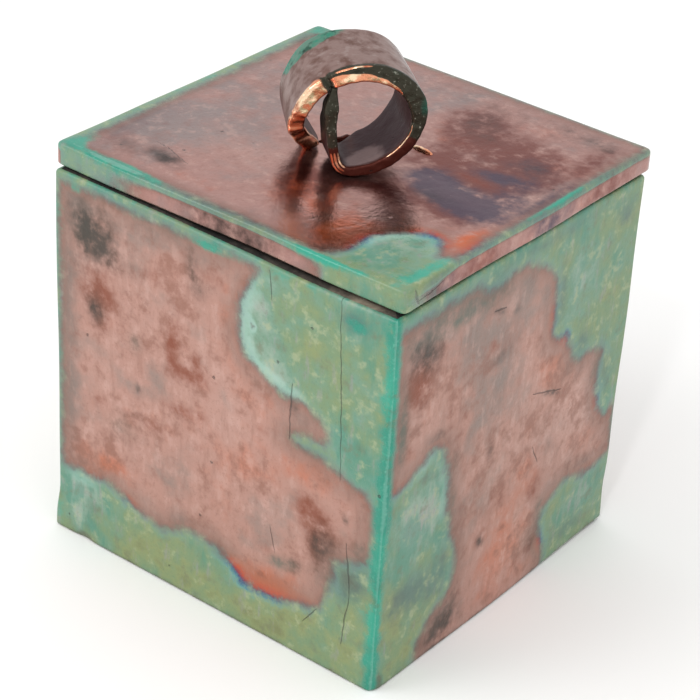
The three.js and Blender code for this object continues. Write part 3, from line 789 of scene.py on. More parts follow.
for seed, (end, side, signs) in enumerate([
    ("Front", "Left", (1, 1)), ("Front", "Right", (-1, 1)),
    ("Back", "Right", (-1, -1)), ("Back", "Left", (1, -1)),
]):
    node = "corner_coil_" + end.lower() + "_" + side.lower()
    clayPieces.append(buildCoil("cornerCoil" + end + side, node, 2, signs, 20 + seed))
for seed, (side, along, signs) in enumerate([
    ("Front", 0, (1, 1)), ("Back", 0, (-1, 1)), ("Left", 1, (1, 1)), ("Right", 1, (-1, 1)),
]):
    clayPieces.append(buildCoil("floorCoil" + side, "floor_coil_" + side.lower(), along, signs, 30 + seed))
print("clay parts built")


# handle: one strap rolled up, with its centre line in the hoop's plane

strap = {
    "turn": 47.5,  # degrees from +X to the hoop's width
    "footX": 9.8,
    "footY": -15.4,
    "halfWidth": 15.4,
    "halfHeight": 13.1,
    "tilt": 16.0,
    "centreAcross": 1.9,
    "width": 22.5,
    "arris": 0.85,
    "bendRadius": 4.2,
    "tongueLength": 19.5,
    "tongueRadius": 55.0,
    "from": 192.0,  # where the foot joins the ellipse
    "to": -108.0,  # where the bend begins
    "tongueLean": 104.0,
    "hoopThick": 3.3,  # where the hoop rests on the lid
    "rootDepth": 0.35,  # how far the strap is pressed into the lid
    "shrink": 0.16,  # the fired skin lies this far inside the straight shape
    "swell": 0.06,  # and nowhere stands out of it by more than this
    "footSteps": 12,
    "hoopSteps": 170,
    "bendSteps": 34,
    "tongueSteps": 40,
}

# share of the strap's length, thickness, front edge and back edge (shares of its width), lean of the back
strapStations = [
    (0, 4.4, 0.74, 1, -0.8), (0.08, 4.4, 0.42, 1, -0.8), (0.13, 4.4, 0.12, 1, -0.6),
    (0.18, 4.4, 0, 1, -0.2), (0.27, 4.4, 0, 1, 1.2), (0.4, 5.0, 0, 1, 0), (0.5, 5.0, 0, 1, -1.2),
    (0.6, 3.3, 0, 0.98, -0.8), (0.72, 3.3, 0, 0.9, 0), (0.8, 2.8, 0, 0.66, 0.8), (0.89, 2.8, 0, 0.42, 1.4),
    (0.95, 4.0, 0, 0.2, 0.6), (1, 2.0, 0.02, 0.12, 0),
]


# nicks in the front edge: share of the strap's length, half width there, reach behind the edge, depth
strapNicks = [(0.274, 0.007, 2.2, 1.0), (0.165, 0.006, 1.6, 0.3)]


def strapLine():
    s = strap
    tilt = math.radians(s["tilt"])
    lowest = math.hypot(s["halfHeight"] * math.cos(tilt), s["halfWidth"] * math.sin(tilt))
    centre = np.array([s["centreAcross"], lowest + s["hoopThick"] / 2])
    roll = np.array([[math.cos(tilt), -math.sin(tilt)], [math.sin(tilt), math.cos(tilt)]])

    def hoop(turn):
        return centre + roll @ [s["halfWidth"] * math.cos(turn), s["halfHeight"] * math.sin(turn)]

    def heading(turn):
        along = roll @ [s["halfWidth"] * math.sin(turn), -s["halfHeight"] * math.cos(turn)]
        return along / np.linalg.norm(along)

    start, end = math.radians(s["from"]), math.radians(s["to"])
    first, foot = hoop(start), heading(start)
    footLength = first[1] / foot[1]
    count = s["footSteps"]
    line = [first - foot * footLength * (1 - k / count) for k in range(count)]
    count = s["hoopSteps"]
    line += [hoop(start + (end - start) * k / count) for k in range(count + 1)]
    out = heading(end)
    direction = math.atan2(out[1], out[0]) % (2 * math.pi)
    bendTurn = direction - math.radians(s["tongueLean"])
    here = line[-1].copy()
    for length, turn, steps in (
        (s["bendRadius"] * bendTurn, bendTurn, s["bendSteps"]),
        (s["tongueLength"], s["tongueLength"] / s["tongueRadius"], s["tongueSteps"]),
    ):
        for _ in range(steps):
            direction -= turn / steps
            here = here + length / steps * np.array([math.cos(direction), math.sin(direction)])
            line.append(here)
    return np.array(line)


def strapSection(thick, front, back, lean):
    # points round the strap, as pairs: behind the hoop's front, and out from the middle of the strap
    half = thick / 2
    r = min(strap["arris"], thick * 0.42, (back - front) * 0.42)
    rows = []
    for centreBehind, centreOut, fromTurn in (
        (back - r, half - r, 0), (front + r, half - r, 90),
        (front + r, r - half, 180), (back - r, r - half, 270),
    ):
        rows += arcPoints(centreBehind, centreOut, r, fromTurn, fromTurn + 90, 5)
    corners = np.array(rows)
    line = []
    for corner in range(4):
        arc = corners[corner * 6:corner * 6 + 6]
        following = corners[(corner * 6 + 6) % 24]
        steps = 14 if corner in (0, 2) else 5
        line += arc.tolist()
        line += [arc[-1] + (following - arc[-1]) * k / steps for k in range(1, steps)]
    line = np.array(line)
    line[:, 1] += lean / strap["width"] * line[:, 0]
    return line


def buildStrap():
    s = strap
    line = strapLine()
    steps = np.linalg.norm(np.diff(line, axis=0), axis=1)
    share = np.concatenate([[0], np.cumsum(steps)]) / np.sum(steps)
    stations = np.array(strapStations)
    points, marks = [], []
    for place, (middle, along) in enumerate(zip(line, share)):
        following = int(np.clip(np.searchsorted(stations[:, 0], along), 1, len(stations) - 1))
        a, b = stations[following - 1], stations[following]
        _, thick, front, back, lean = a + (b - a) * ease(along, a[0], b[0])
        ahead, behindPoint = line[min(place + 1, len(line) - 1)], line[max(place - 1, 0)]
        heading = (ahead - behindPoint) / np.linalg.norm(ahead - behindPoint)
        section = strapSection(thick, front * s["width"], back * s["width"], lean)
        behind, out = section.T
        points.append(np.stack([middle[0] - heading[1] * out, behind, middle[1] + heading[0] * out], 1))
        fromFront = behind - front * s["width"]
        marks.append(np.stack([np.full(len(section), along), behind, out / thick, fromFront], 1))
    around = len(points[0])
    points = np.concatenate(points)
    along, behind, out, fromFront = np.concatenate(marks).T
    faces = outward(points, loftFaces(len(line), around))
    normals = unit(pointNormals(points, faces))
    # thumbed and dried unevenly: lumps on the front edge, drag lines on the broad faces
    onFront = 1 - ease(fromFront, 0.6, 2.4)
    rough = 0.1 * lumps(points, 3.2, 41) + 0.09 * lumps(points, 1.3, 42)
    broad = 0.14 * lumps(points * [1, 0.35, 1], 6.0, 43)
    calm = 0.35 + 0.65 * ease(along, 0.09, 0.16)
    push = -s["shrink"] + rough * (0.35 + onFront) * calm + broad
    nicks = np.zeros(len(points))
    for place, half, reach, depth in strapNicks:
        nicks += depth * np.exp(-((along - place) / half) ** 2) * np.exp(-(fromFront / reach) ** 2)
    points = points + normals * (np.minimum(push, s["swell"]) - nicks)[:, None]
    floor = lidTop - s["rootDepth"]
    turn = math.radians(s["turn"])
    x = points[:, 0] * math.cos(turn) - points[:, 1] * math.sin(turn) + s["footX"]
    y = points[:, 0] * math.sin(turn) + points[:, 1] * math.cos(turn) + s["footY"]
    z = np.maximum(points[:, 2] + lidTop, floor)
    handle = toMesh("handleCurl", np.stack([x, y, z], 1), faces)
    paintStrap(handle, along, behind, out, fromFront)
    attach(handle, "lid")
    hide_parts("handle_curl")
    return handle


# stretches of the strap's length, 0 at the foot and 1 at the tongue's tip
strapPaint = {
    "goldFoot": (0.0, 0.262),
    "goldStrip": (0.285, 0.47),
    # the outer and inner glint stretches are painted highlights along the arrises
    "outerGlint": (0.3, 0.37),
    "innerGlint": (0.57, 0.68),
    "tipGlint": (0.79, 0.84),
    "nick": (0.262, 0.29),
    "gunmetal": (0.29, 0.6),
    "teal": (0.5, 0.55),
    "fainterTeal": (0.4, 0.46),
    # painted light on the inner face at the hoop's bottom
    "paintedLight": (0.68, 0.79),
}


def paintStrap(handle, along, behind, out, fromFront):
    # along runs 0 to 1 from the foot to the tongue's tip; out is 0.5 on the outer face, -0.5 on the inner
    look = strapPaint
    onFront = 1 - ease(fromFront, 0.9, 1.9)
    outer = ease(out, 0.36, 0.5) * (1 - onFront)
    inner = ease(-out, 0.36, 0.5) * (1 - onFront)

    def stretch(start, end, soft=0.015):
        return ease(along, start - soft, start + soft) * (1 - ease(along, end - soft, end + soft))

    pour = 7 - 15 * np.exp(-(((along - 0.25) / 0.1) ** 2 + ((behind - 21.5) / 5.5) ** 2)) * outer
    uneven = lumps(np.stack([along * 40, out * 9, behind], 1), 3, 44)
    lustreAndPaintedGlint = stretch(*look["goldFoot"]) * (0.75 + 0.35 * uneven)
    lustreAndPaintedGlint += stretch(*look["goldStrip"]) * (1 - ease(out + 3.4 * (along - 0.285), 0.16, 0.34))
    # painted highlights: pale lines along the outer and inner arrises, added to the copper lustre
    glint = stretch(*look["outerGlint"]) * ease(out, 0.38, 0.46)
    glint += stretch(*look["innerGlint"]) * ease(-out, 0.38, 0.46)
    lustreAndPaintedGlint += glint * (1 - ease(fromFront, 0.3, 0.7))
    lustreAndPaintedGlint += stretch(*look["tipGlint"]) * (0.95 * np.cos(out * 9) ** 2)
    lustreAndPaintedGlint *= onFront
    dark = onFront * np.maximum.reduce([
        stretch(*look["nick"], 0.006), stretch(*look["gunmetal"]) * 0.9, 0.9 * ease(along, 0.84, 0.87),
    ])
    dark = np.maximum(dark, 0.55 * ease(along, 0.86, 0.9))
    brown = np.maximum.reduce([
        0.95 * inner, 0.35 * onFront * ease(along, 0.52, 0.6), 0.9 * (1 - onFront) * ease(along, 0.7, 0.78),
    ])
    teal = stretch(*look["teal"]) * ease(out, -0.1, 0.2)
    teal += 0.7 * stretch(*look["fainterTeal"]) * ease(out, 0.0, 0.3)
    teal = 0.55 * onFront * teal
    # painted light: the inner face near the front is made paler at the hoop's bottom, where it faces up
    paintedLight = inner * stretch(*look["paintedLight"], 0.03) * (1 - ease(fromFront, 6, 12))
    paint(handle, "glazeFlow", pour, 0.0, paintedLight)
    paint(handle, "glazeTint", np.clip(lustreAndPaintedGlint, 0, 1), np.clip(dark, 0, 1), brown)
    paint(handle, "glazeSkin", outer, onFront, teal)


handleCurl = buildStrap()
print("handle built")


# slip squeezed out beside the handle

# lustreAndPaintedGlint is how much of each bead takes the copper lustre with its painted highlight
slipBeads = [
    {"name": "slipBeadBack", "node": "slip_bead_back", "waist": 0.3, "fat": 1.35, "lustreAndPaintedGlint": 0.25, "seed": 51},
    {"name": "slipBeadSide", "node": "slip_bead_side", "waist": 0.15, "fat": 1.0, "lustreAndPaintedGlint": 0.6, "seed": 52},
]


beadSink = 0.25  # how far the beads are sunk into the lid
beadPaint = {"copper": 6.0, "dark": 0.1, "brown": 0.3, "front": 0.6}


def buildBead(bead):
    low, high = boxOf(bead["node"])
    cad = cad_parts[bead["node"]]
    cloud = np.array([vertex.co for vertex in cad.data.vertices]) / mm
    centre = (low + high) / 2
    flat = cloud[:, :2] - centre[:2]
    direction = np.linalg.svd(flat - flat.mean(0), full_matrices=False)[2][0]
    reach = np.max(np.abs(flat @ direction))
    steps, around = 34, 16
    points = []
    for k in range(steps + 1):
        t = -math.cos(math.pi * k / steps)
        radius = max(math.sqrt(max(1 - t * t, 0)) ** 0.7, 0.03)
        radius *= 1 - bead["waist"] * math.sin(5 * t + 1) ** 2
        middle = centre[:2] + direction * t * reach
        for a in range(around):
            turn = 2 * math.pi * a / around
            sideways = bead["fat"] * radius * math.cos(turn) * np.array([-direction[1], direction[0]])
            rise = max(math.sin(turn), -0.3) * radius * bead["fat"] * (high[2] - lidTop + 0.2)
            height = lidTop - beadSink + rise
            points.append([middle[0] + sideways[0], middle[1] + sideways[1], height])
    points = np.array(points)
    points[:, 2] += 0.25 * lumps(points, 1.4, bead["seed"])
    piece = toMesh(bead["name"], points, outward(points, loftFaces(steps + 1, around)))
    paint(piece, "glazeFlow", beadPaint["copper"], 0.0, 0.0)
    paint(piece, "glazeTint", bead["lustreAndPaintedGlint"], beadPaint["dark"], beadPaint["brown"])
    paint(piece, "glazeSkin", 0.0, beadPaint["front"], 0.0)
    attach(piece, "lid")
    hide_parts(bead["node"])
    return piece


beadPieces = [buildBead(bead) for bead in slipBeads]
print("slip beads built")


# materials

def shade(code):
    # a colour written as on a paint chart, turned into scene values
    parts = [int(code[k:k + 2], 16) / 255 for k in (0, 2, 4)]
    return tuple(c / 12.92 if c <= 0.04045 else ((c + 0.055) / 1.055) ** 2.4 for c in parts) + (1.0,)


class NodeBench:
    # short ways of adding nodes to one tree
    def __init__(self, tree):
        self.tree = tree

    def add(self, kind, inputs=None, **settings):
        made = self.tree.nodes.new(kind)
        for name, value in settings.items():
            setattr(made, name, value)
        for key, value in (inputs or {}).items():
            if isinstance(value, bpy.types.NodeSocket):
                self.tree.links.new(value, made.inputs[key])
            else:
                made.inputs[key].default_value = value
        return made

    def maths(self, operation, *values, clamp=False):
        inputs = dict(enumerate(values))
        return self.add("ShaderNodeMath", inputs, operation=operation, use_clamp=clamp).outputs[0]

    def times(self, first, second):
        return self.maths("MULTIPLY", first, second)

    def mix(self, share, first, second, blend="MIX"):
        inputs = {0: share, 6: first, 7: second}
        return self.add("ShaderNodeMix", inputs, data_type="RGBA", blend_type=blend).outputs[2]

    def between(self, value, low, high, bottom=0.0, top=1.0):
        inputs = {0: value, 1: low, 2: high, 3: bottom, 4: top}
        return self.add("ShaderNodeMapRange", inputs, interpolation_type="SMOOTHSTEP").outputs[0]

    def noise(self, place, size, detail=2.0, rough=0.5, shift=None, stretch=None):
        if shift is not None or stretch is not None:
            inputs = {"Vector": place, "Location": shift or (0, 0, 0), "Scale": stretch or (1, 1, 1)}
            place = self.add("ShaderNodeMapping", inputs).outputs[0]
        inputs = {"Vector": place, "Scale": 1 / size, "Detail": detail, "Roughness": rough}
        return self.add("ShaderNodeTexNoise", inputs).outputs[0]

    def ramp(self, value, stops, interpolation="LINEAR"):
        made = self.add("ShaderNodeValToRGB", {0: value})
        made.color_ramp.interpolation = interpolation
        elements = made.color_ramp.elements
        while len(elements) < len(stops):
            elements.new(0.5)
        for element, (place, colour) in zip(elements, stops):
            element.position = place
            element.color = colour
        return made.outputs[0]

    def group(self, tree, inputs):
        made = self.add("ShaderNodeGroup", node_tree=tree)
        for key, value in inputs.items():
            if isinstance(value, bpy.types.NodeSocket):
                self.tree.links.new(value, made.inputs[key])
            else:
                made.inputs[key].default_value = value
        return made.outputs


def newGroup(name, inputs, outputs):
    tree = bpy.data.node_groups.new(name, "ShaderNodeTree")
    for label, kind, default in inputs:
        socket = tree.interface.new_socket(label, in_out="INPUT", socket_type="NodeSocket" + kind)
        if default is not None:
            socket.default_value = default
    for label, kind in outputs:
        tree.interface.new_socket(label, in_out="OUTPUT", socket_type="NodeSocket" + kind)
    bench = NodeBench(tree)
    start = tree.nodes.new("NodeGroupInput")
    end = tree.nodes.new("NodeGroupOutput")
    return bench, start.outputs, end.inputs


def finishGroup(bench, end, results):
    for label, socket in results.items():
        bench.tree.links.new(socket, end[label])
    return bench.tree


fired = ("Clouds", "Blotches", "Stains", "Strokes", "Grain")  # the unevenness that most finishes share
copperColours = ("Cool", "Middle", "Hot", "Stain", "Rusty", "Bloom", "Smoke")


def sockets(kind, default, *names):
    # inputs of one kind for a group
    return [(name, kind, default) for name in names]


def swing(bench, value, gain, base=0.0):
    # a noise value turned about its middle and added to a base
    return bench.maths("MULTIPLY_ADD", bench.maths("SUBTRACT", value, 0.5), gain, base)


def makeMottleGroup():
    # uneven fired surface: clouds, blotches, stains, slanting strokes, fine grain and a few pinholes
    bench, given, end = newGroup(
        "firedMottle",
        [("Place", "Vector", None), ("Pinholes", "Float", 0.05)],
        [(name, "Float") for name in ("Clouds", "Blotches", "Stains", "Strokes", "Grain", "Holes", "Height")],
    )
    place = given["Place"]
    clouds = bench.noise(place, 15, 2, 0.5)
    blotches = bench.noise(place, 5.5, 4, 0.6, shift=(31, 7, 13))
    stains = bench.noise(place, 4.0, 5, 0.6, shift=(11, 47, 23))
    turned = bench.add("ShaderNodeMapping", {
        "Vector": place, "Rotation": (0.5, 0.5, 0.35), "Scale": (1.0, 1.0, 0.28),
    }).outputs[0]
    strokes = bench.noise(turned, 2.4, 3, 0.6)
    grain = bench.noise(place, 0.8, 3, 0.65, shift=(3, 19, 41))
    cells = bench.add("ShaderNodeTexVoronoi", {"Vector": place, "Scale": 0.3, "Randomness": 1.0})
    spread = bench.maths("MULTIPLY_ADD", grain, 0.5, cells.outputs["Distance"])
    holes = bench.between(spread, 0.4, 0.3)
    pick = bench.add("ShaderNodeSeparateColor", {0: cells.outputs["Color"]}).outputs[0]
    holes = bench.times(holes, bench.maths("LESS_THAN", pick, given["Pinholes"]))
    height = bench.maths("MULTIPLY_ADD", grain, 0.5, bench.times(blotches, 1.4))
    height = bench.maths("MULTIPLY_ADD", strokes, 0.5, height)
    height = bench.maths("SUBTRACT", height, bench.times(holes, 0.8))
    return finishGroup(bench, end, {
        "Clouds": clouds, "Blotches": blotches, "Stains": stains, "Strokes": strokes, "Grain": grain,
        "Holes": holes, "Height": height,
    })


def makeRaggedGroup():
    # breaks up the smooth border of a pour
    bench, given, end = newGroup(
        "raggedBorder",
        [("Pour", "Float", 0.0), ("Ragged", "Float", 1.0)]
        + sockets("Float", 0.5, "Blotches", "Stains", "Grain"),
        [("Distance", "Float")],
    )
    total = swing(bench, given["Blotches"], 7.0)
    total = swing(bench, given["Stains"], 6.0, total)
    total = swing(bench, given["Grain"], 2.4, total)
    distance = bench.maths("MULTIPLY_ADD", total, given["Ragged"], given["Pour"])
    return finishGroup(bench, end, {"Distance": distance})


def makeFringeGroup():
    # thin-film colours along the border, by distance in millimetres, muted or vivid
    bench, given, end = newGroup(
        "borderFringe",
        sockets("Float", 0.0, "Distance", "Strength") + sockets("Float", 0.5, "Stains", "Grain"),
        [("Colour", "Color"), ("Share", "Float")],
    )
    scale = bench.maths("MULTIPLY_ADD", given["Distance"], 0.085, 0.35)
    muted = bench.ramp(scale, [
        (0.0, shade("7d9f88")), (0.14, shade("729a8a")), (0.26, shade("658682")), (0.34, shade("656a69")),
        (0.42, shade("7d5c58")), (0.54, shade("a06a56")), (0.8, shade("b38372")),
    ])
    vivid = bench.ramp(scale, [
        (0.0, shade("7fae9e")), (0.14, shade("5aa0a4")), (0.24, shade("2e6d8a")), (0.31, shade("41446e")),
        (0.37, shade("8a2f40")), (0.45, shade("bf4a30")), (0.62, shade("c46a48")), (0.9, shade("b9806a")),
    ])
    colour = bench.mix(bench.between(given["Strength"], 0.25, 0.8), muted, vivid)
    reach = bench.maths("MULTIPLY_ADD", given["Strength"], 3.6, 3.2)
    near = bench.between(given["Distance"], reach, 0.2)
    inner = bench.between(given["Distance"], -4.4, -0.8)
    strong = bench.maths("MULTIPLY_ADD", given["Strength"], 0.8, 0.62, clamp=True)
    patchy = bench.between(given["Stains"], 0.34, 0.6, 0.45, 1.0)
    dots = bench.between(given["Grain"], 0.36, 0.6, 0.7, 1.0)
    share = bench.times(bench.times(near, inner), bench.times(strong, dots))
    share = bench.times(share, patchy)
    return finishGroup(bench, end, {"Colour": colour, "Share": share})


def makeGreenGroup():
    # the thick glaze where it stayed green: olive, sea green and milky mint
    bench, given, end = newGroup(
        "greenPool",
        sockets("Float", 0.0, "Pale") + sockets("Float", 0.5, *fired),
        [("Colour", "Color")],
    )
    tone = swing(bench, given["Clouds"], 1.5, given["Pale"])
    tone = swing(bench, given["Blotches"], 2.2, tone)
    scale = bench.maths("MULTIPLY_ADD", tone, 0.36, 0.42, clamp=True)
    colour = bench.ramp(scale, [
        (0.0, shade("757b50")), (0.18, shade("838f5f")), (0.38, shade("728c68")), (0.56, shade("6d917a")),
        (0.74, shade("8ba290")), (0.9, shade("999f94")), (1.0, shade("a4a49d")),
    ])
    sea = bench.between(swing(bench, given["Clouds"], 2.0, given["Strokes"]), 0.52, 0.9, 0.0, 0.6)
    sea = bench.times(sea, bench.between(given["Pale"], -0.5, 0.0))
    colour = bench.mix(sea, colour, shade("3b836f"))
    colour = bench.mix(bench.between(given["Stains"], 0.54, 0.74, 0.0, 0.6), colour, shade("6c6f55"))
    colour = bench.mix(bench.between(given["Stains"], 0.46, 0.3, 0.0, 0.6), colour, shade("a3ab86"))
    colour = bench.mix(bench.between(given["Strokes"], 0.44, 0.28, 0.0, 0.5), colour, shade("8d8f8c"))
    colour = bench.mix(bench.between(given["Grain"], 0.52, 0.78, 0.0, 0.4), colour, shade("4f745c"))
    return finishGroup(bench, end, {"Colour": colour})


def makeCopperGroup():
    # the reduced glaze: pink copper, cooler or warmer, with stains, rust, smoke and an oxide bloom
    bench, given, end = newGroup(
        "copperSkin",
        sockets("Float", 0.0, "Warm", "Rust", "Soot", "Film", "Pale") + [("Mottling", "Float", 1.0)]
        + sockets("Float", 0.5, *fired) + sockets("Color", None, *copperColours),
        [("Colour", "Color")],
    )
    tone = swing(bench, given["Clouds"], 2.0, given["Warm"])
    tone = swing(bench, given["Blotches"], 1.4, tone)
    colour = bench.mix(bench.between(tone, 0.1, -0.9), given["Middle"], given["Cool"])
    colour = bench.mix(bench.between(tone, 0.15, 1.5), colour, given["Hot"])
    pale = bench.between(swing(bench, given["Strokes"], 1.0, given["Stains"]), 0.46, 0.24, 0.0, 0.32)
    pale = bench.maths("MULTIPLY_ADD", given["Pale"], 0.5, pale, clamp=True)
    colour = bench.mix(pale, colour, shade("cca79c"))
    smear = bench.between(swing(bench, given["Clouds"], 0.7, given["Stains"]), 0.5, 0.76, 0.0, 0.72)
    colour = bench.mix(bench.times(smear, given["Mottling"]), colour, given["Stain"])
    stroke = bench.between(given["Strokes"], 0.54, 0.72, 0.0, 0.3)
    colour = bench.mix(bench.times(stroke, given["Mottling"]), colour, given["Stain"])
    fleck = bench.between(given["Grain"], 0.52, 0.78, 0.0, 0.35)
    colour = bench.mix(fleck, colour, shade("85564a"))
    uneven = swing(bench, given["Stains"], 2.6, 0.9)
    for amount, tint, most in (("Rust", "Rusty", 0.85), ("Film", "Bloom", 0.85), ("Soot", "Smoke", 0.9)):
        share = bench.between(bench.times(given[amount], uneven), 0.0, 0.78, 0.0, most)
        colour = bench.mix(share, colour, given[tint])
    return finishGroup(bench, end, {"Colour": colour})


def makeEdgeGroup():
    # glossy turquoise where the glaze ran thin over an arris, with a painted highlight along the very edge
    bench, given, end = newGroup(
        "turquoiseEdge",
        [("Edge", "Float", 0.0)] + sockets("Float", 0.5, "Clouds", "Blotches", "Grain"),
        [("Colour", "Color"), ("Share", "Float")],
    )
    broken = swing(bench, given["Blotches"], 1.1, given["Edge"])
    broken = swing(bench, given["Grain"], 0.3, broken)
    share = bench.between(broken, 0.3, 0.85, 0.0, 0.92)
    colour = bench.mix(bench.between(given["Clouds"], 0.42, 0.6), shade("169880"), shade("0c8670"))
    colour = bench.mix(bench.between(given["Blotches"], 0.46, 0.3, 0.0, 0.7), colour, shade("2b6552"))
    colour = bench.mix(bench.between(given["Grain"], 0.52, 0.74, 0.0, 0.4), colour, shade("56b394"))
    # painted highlight: a pale broken line along the sharpest part of the arris
    paintedLight = swing(bench, given["Grain"], 0.16, swing(bench, given["Clouds"], 0.25, given["Edge"]))
    paintedRidgeHighlight = bench.between(paintedLight, 0.88, 1.0, 0.0, 0.16)
    colour = bench.mix(paintedRidgeHighlight, colour, shade("bfe6d8"))
    return finishGroup(bench, end, {"Colour": colour, "Share": share})


def makeCrackGroup():
    # one hairline crack between two points on a face; the face vector drops the axis across the wall
    bench, given, end = newGroup(
        "hairCrack",
        sockets("Vector", None, "Place", "Start", "End", "Face")
        + [("Width", "Float", 0.2), ("Wander", "Float", 0.6)],
        [("Mask", "Float")],
    )

    def vector(operation, first, second):
        key = "Scale" if operation == "SCALE" else 1
        made = bench.add("ShaderNodeVectorMath", {0: first, key: second}, operation=operation)
        return made.outputs[1 if operation in ("DOT_PRODUCT", "LENGTH", "DISTANCE") else 0]

    sway = bench.add("ShaderNodeTexNoise", {"Vector": given["Place"], "Scale": 0.2, "Detail": 3.0}).outputs[1]
    sway = vector("SUBTRACT", sway, (0.5, 0.5, 0.5))
    sway = vector("SCALE", sway, bench.times(given["Wander"], 5.0))
    place = vector("ADD", given["Place"], sway)
    run = vector("SUBTRACT", given["End"], given["Start"])
    off = vector("SUBTRACT", place, given["Start"])
    reach = vector("DOT_PRODUCT", off, run)
    share = bench.maths("DIVIDE", reach, vector("DOT_PRODUCT", run, run), clamp=True)
    away = vector("SUBTRACT", off, vector("SCALE", run, share))
    flat = vector("MULTIPLY", away, given["Face"])
    gap = vector("LENGTH", flat, (0, 0, 0))
    depth = vector("DISTANCE", away, flat)
    taper = bench.maths("MULTIPLY_ADD", bench.maths("PINGPONG", share, 0.5), 1.4, 0.4)
    width = bench.times(given["Width"], taper)
    mask = bench.between(gap, bench.times(width, 2.0), bench.times(width, 0.5))
    mask = bench.times(mask, bench.between(depth, 4.0, 3.5))
    return finishGroup(bench, end, {"Mask": mask})


def makeBareGroup():
    # unglazed clay: pale on the rim, blackened by smoke elsewhere
    bench, given, end = newGroup(
        "bareClay",
        sockets("Float", 0.5, "Smoke", "Clouds", "Blotches", "Grain"),
        [("Colour", "Color")],
    )
    smoke = swing(bench, given["Clouds"], 1.2, given["Smoke"])
    smoke = swing(bench, given["Blotches"], 1.2, smoke)
    colour = bench.ramp(smoke, [
        (0.0, shade("b9aa95")), (0.3, shade("8a7c6c")), (0.6, shade("4c453e")), (1.0, shade("1f1c1a")),
    ])
    colour = bench.mix(bench.between(given["Grain"], 0.55, 0.8, 0.0, 0.5), colour, shade("2f2a26"))
    colour = bench.mix(bench.between(given["Grain"], 0.42, 0.22, 0.0, 0.25), colour, shade("b3a690"))
    return finishGroup(bench, end, {"Colour": colour})


groups = {
    "mottle": makeMottleGroup(),
    "ragged": makeRaggedGroup(),
    "fringe": makeFringeGroup(),
    "green": makeGreenGroup(),
    "copper": makeCopperGroup(),
    "edge": makeEdgeGroup(),
    "crack": makeCrackGroup(),
    "bare": makeBareGroup(),
}


def newMaterial(name):
    material = bpy.data.materials.new(name)
    material.use_nodes = True
    tree = material.node_tree
    tree.nodes.clear()
    bench = NodeBench(tree)
    output = tree.nodes.new("ShaderNodeOutputMaterial")
    shader = tree.nodes.new("ShaderNodeBsdfPrincipled")
    tree.links.new(shader.outputs[0], output.inputs[0])
    where = bench.add("ShaderNodeTexCoord").outputs["Object"]
    place = bench.add("ShaderNodeVectorMath", {0: where, "Scale": 1 / mm}, operation="SCALE").outputs[0]
    return material, bench, shader, place


def wireUp(bench, shader, height, relief, results):
    # sends the finished values to the shader, with the unevenness as a bump
    bump = bench.add("ShaderNodeBump", {"Strength": 1.0, "Distance": relief, "Height": height})
    for label, value in results.items():
        bench.tree.links.new(value, shader.inputs[label])
    bench.tree.links.new(bump.outputs[0], shader.inputs["Normal"])


def painted(bench, name):
    # the three values that paint() left at each point
    vector = bench.add("ShaderNodeAttribute", attribute_name=name).outputs["Vector"]
    return bench.add("ShaderNodeSeparateXYZ", {0: vector}).outputs


def mixValue(bench, share, first, second):
    return bench.add("ShaderNodeMix", {0: share, 2: first, 3: second}).outputs[0]


# The copper from cool to hot, its stains and films, then how uneven, rough and metallic each glaze is.
# The halo is a haze that the green leaves on the copper beside it. haloReach is in millimetres, relief in
# metres.
wallFinish = {
    "cool": "8e7c74", "middle": "b48a7d", "hot": "bf7052", "stain": "8f6354", "rusty": "84452f",
    "bloom": "56695f", "smoke": "3f3a34",
    "ragged": 0.6, "pinholes": 0.05, "mottling": 1.0,
    "metal": 0.5, "copperRough": 0.4, "greenRough": 0.42, "edgeRough": 0.2,
    "relief": 0.00018, "rimSmoke": 0.95, "palest": 1.0, "haze": "6f5d54", "halo": 0.42, "haloReach": 9.0,
}
lidFinish = {
    # On the lid the hot shade also colours the painted reflection of the handle, and the rusty shade the
    # painted shadow in front of it.
    "cool": "938280", "middle": "b0867e", "hot": "d26a42", "stain": "84564c", "rusty": "6e2f26",
    "bloom": "473f52", "smoke": "38302d",
    "ragged": 0.45, "pinholes": 0.04, "mottling": 0.36,
    "metal": 0.93, "copperRough": 0.21, "greenRough": 0.3, "edgeRough": 0.2,
    "relief": 0.00009, "rimSmoke": 0.9, "palest": 0.0, "haze": "6d564f", "halo": 0.3, "haloReach": 5.0,
}

glazeShades = {"film": "4f6c66", "grime": "56503c", "milk": "a9cdbf", "flaw": "2c2a26"}  # on both glazes

# hairline cracks: where each starts and ends (mm), the face it lies on, its width and how far it wanders
acrossFront, acrossRight, acrossTop = (1, 0, 1), (0, 1, 1), (1, 1, 0)
wallCracks = [
    ((38.3, -53, 109), (41.5, -53, 58), acrossFront, 0.1, 0.25),
    ((16.5, -53, 107), (17.5, -53, 99), acrossFront, 0.1, 0.2),
    ((44.5, -53, 41), (46.5, -53, 26), acrossFront, 0.16, 0.3),
    ((46.5, -53, 26), (44.5, -53, 10), acrossFront, 0.13, 0.3),
    ((36.5, -53, 17), (32, -53, 11), acrossFront, 0.12, 0.2),
    ((25, -53, 79), (25, -53, 63), acrossFront, 0.16, 0.3),
    ((20, -53, 35), (22, -53, 27), acrossFront, 0.1, 0.3),
    ((55.5, -13, 94.5), (55.5, -8, 94), acrossRight, 0.2, 0.2),
    ((55.5, 9, 61), (55.5, 22, 57), acrossRight, 0.16, 0.4),
    ((55.5, 11, 44), (55.5, 14, 38), acrossRight, 0.14, 0.3),
    ((-20, 53, 108), (-24, 53, 84), acrossFront, 0.14, 0.5),
    ((-55.5, 20, 30), (-55.5, 28, 4), acrossRight, 0.14, 0.6),
]
lidCracks = [
    ((55.6, -47.5, 114), (55.6, -46, 110.5), acrossRight, 0.5, 0.6),
    ((55.6, -46, 111), (55.6, -36, 112.5), acrossRight, 0.16, 0.4),
    ((-38, -33, 115.5), (-24, -37, 115.5), acrossTop, 0.12, 0.5),
]


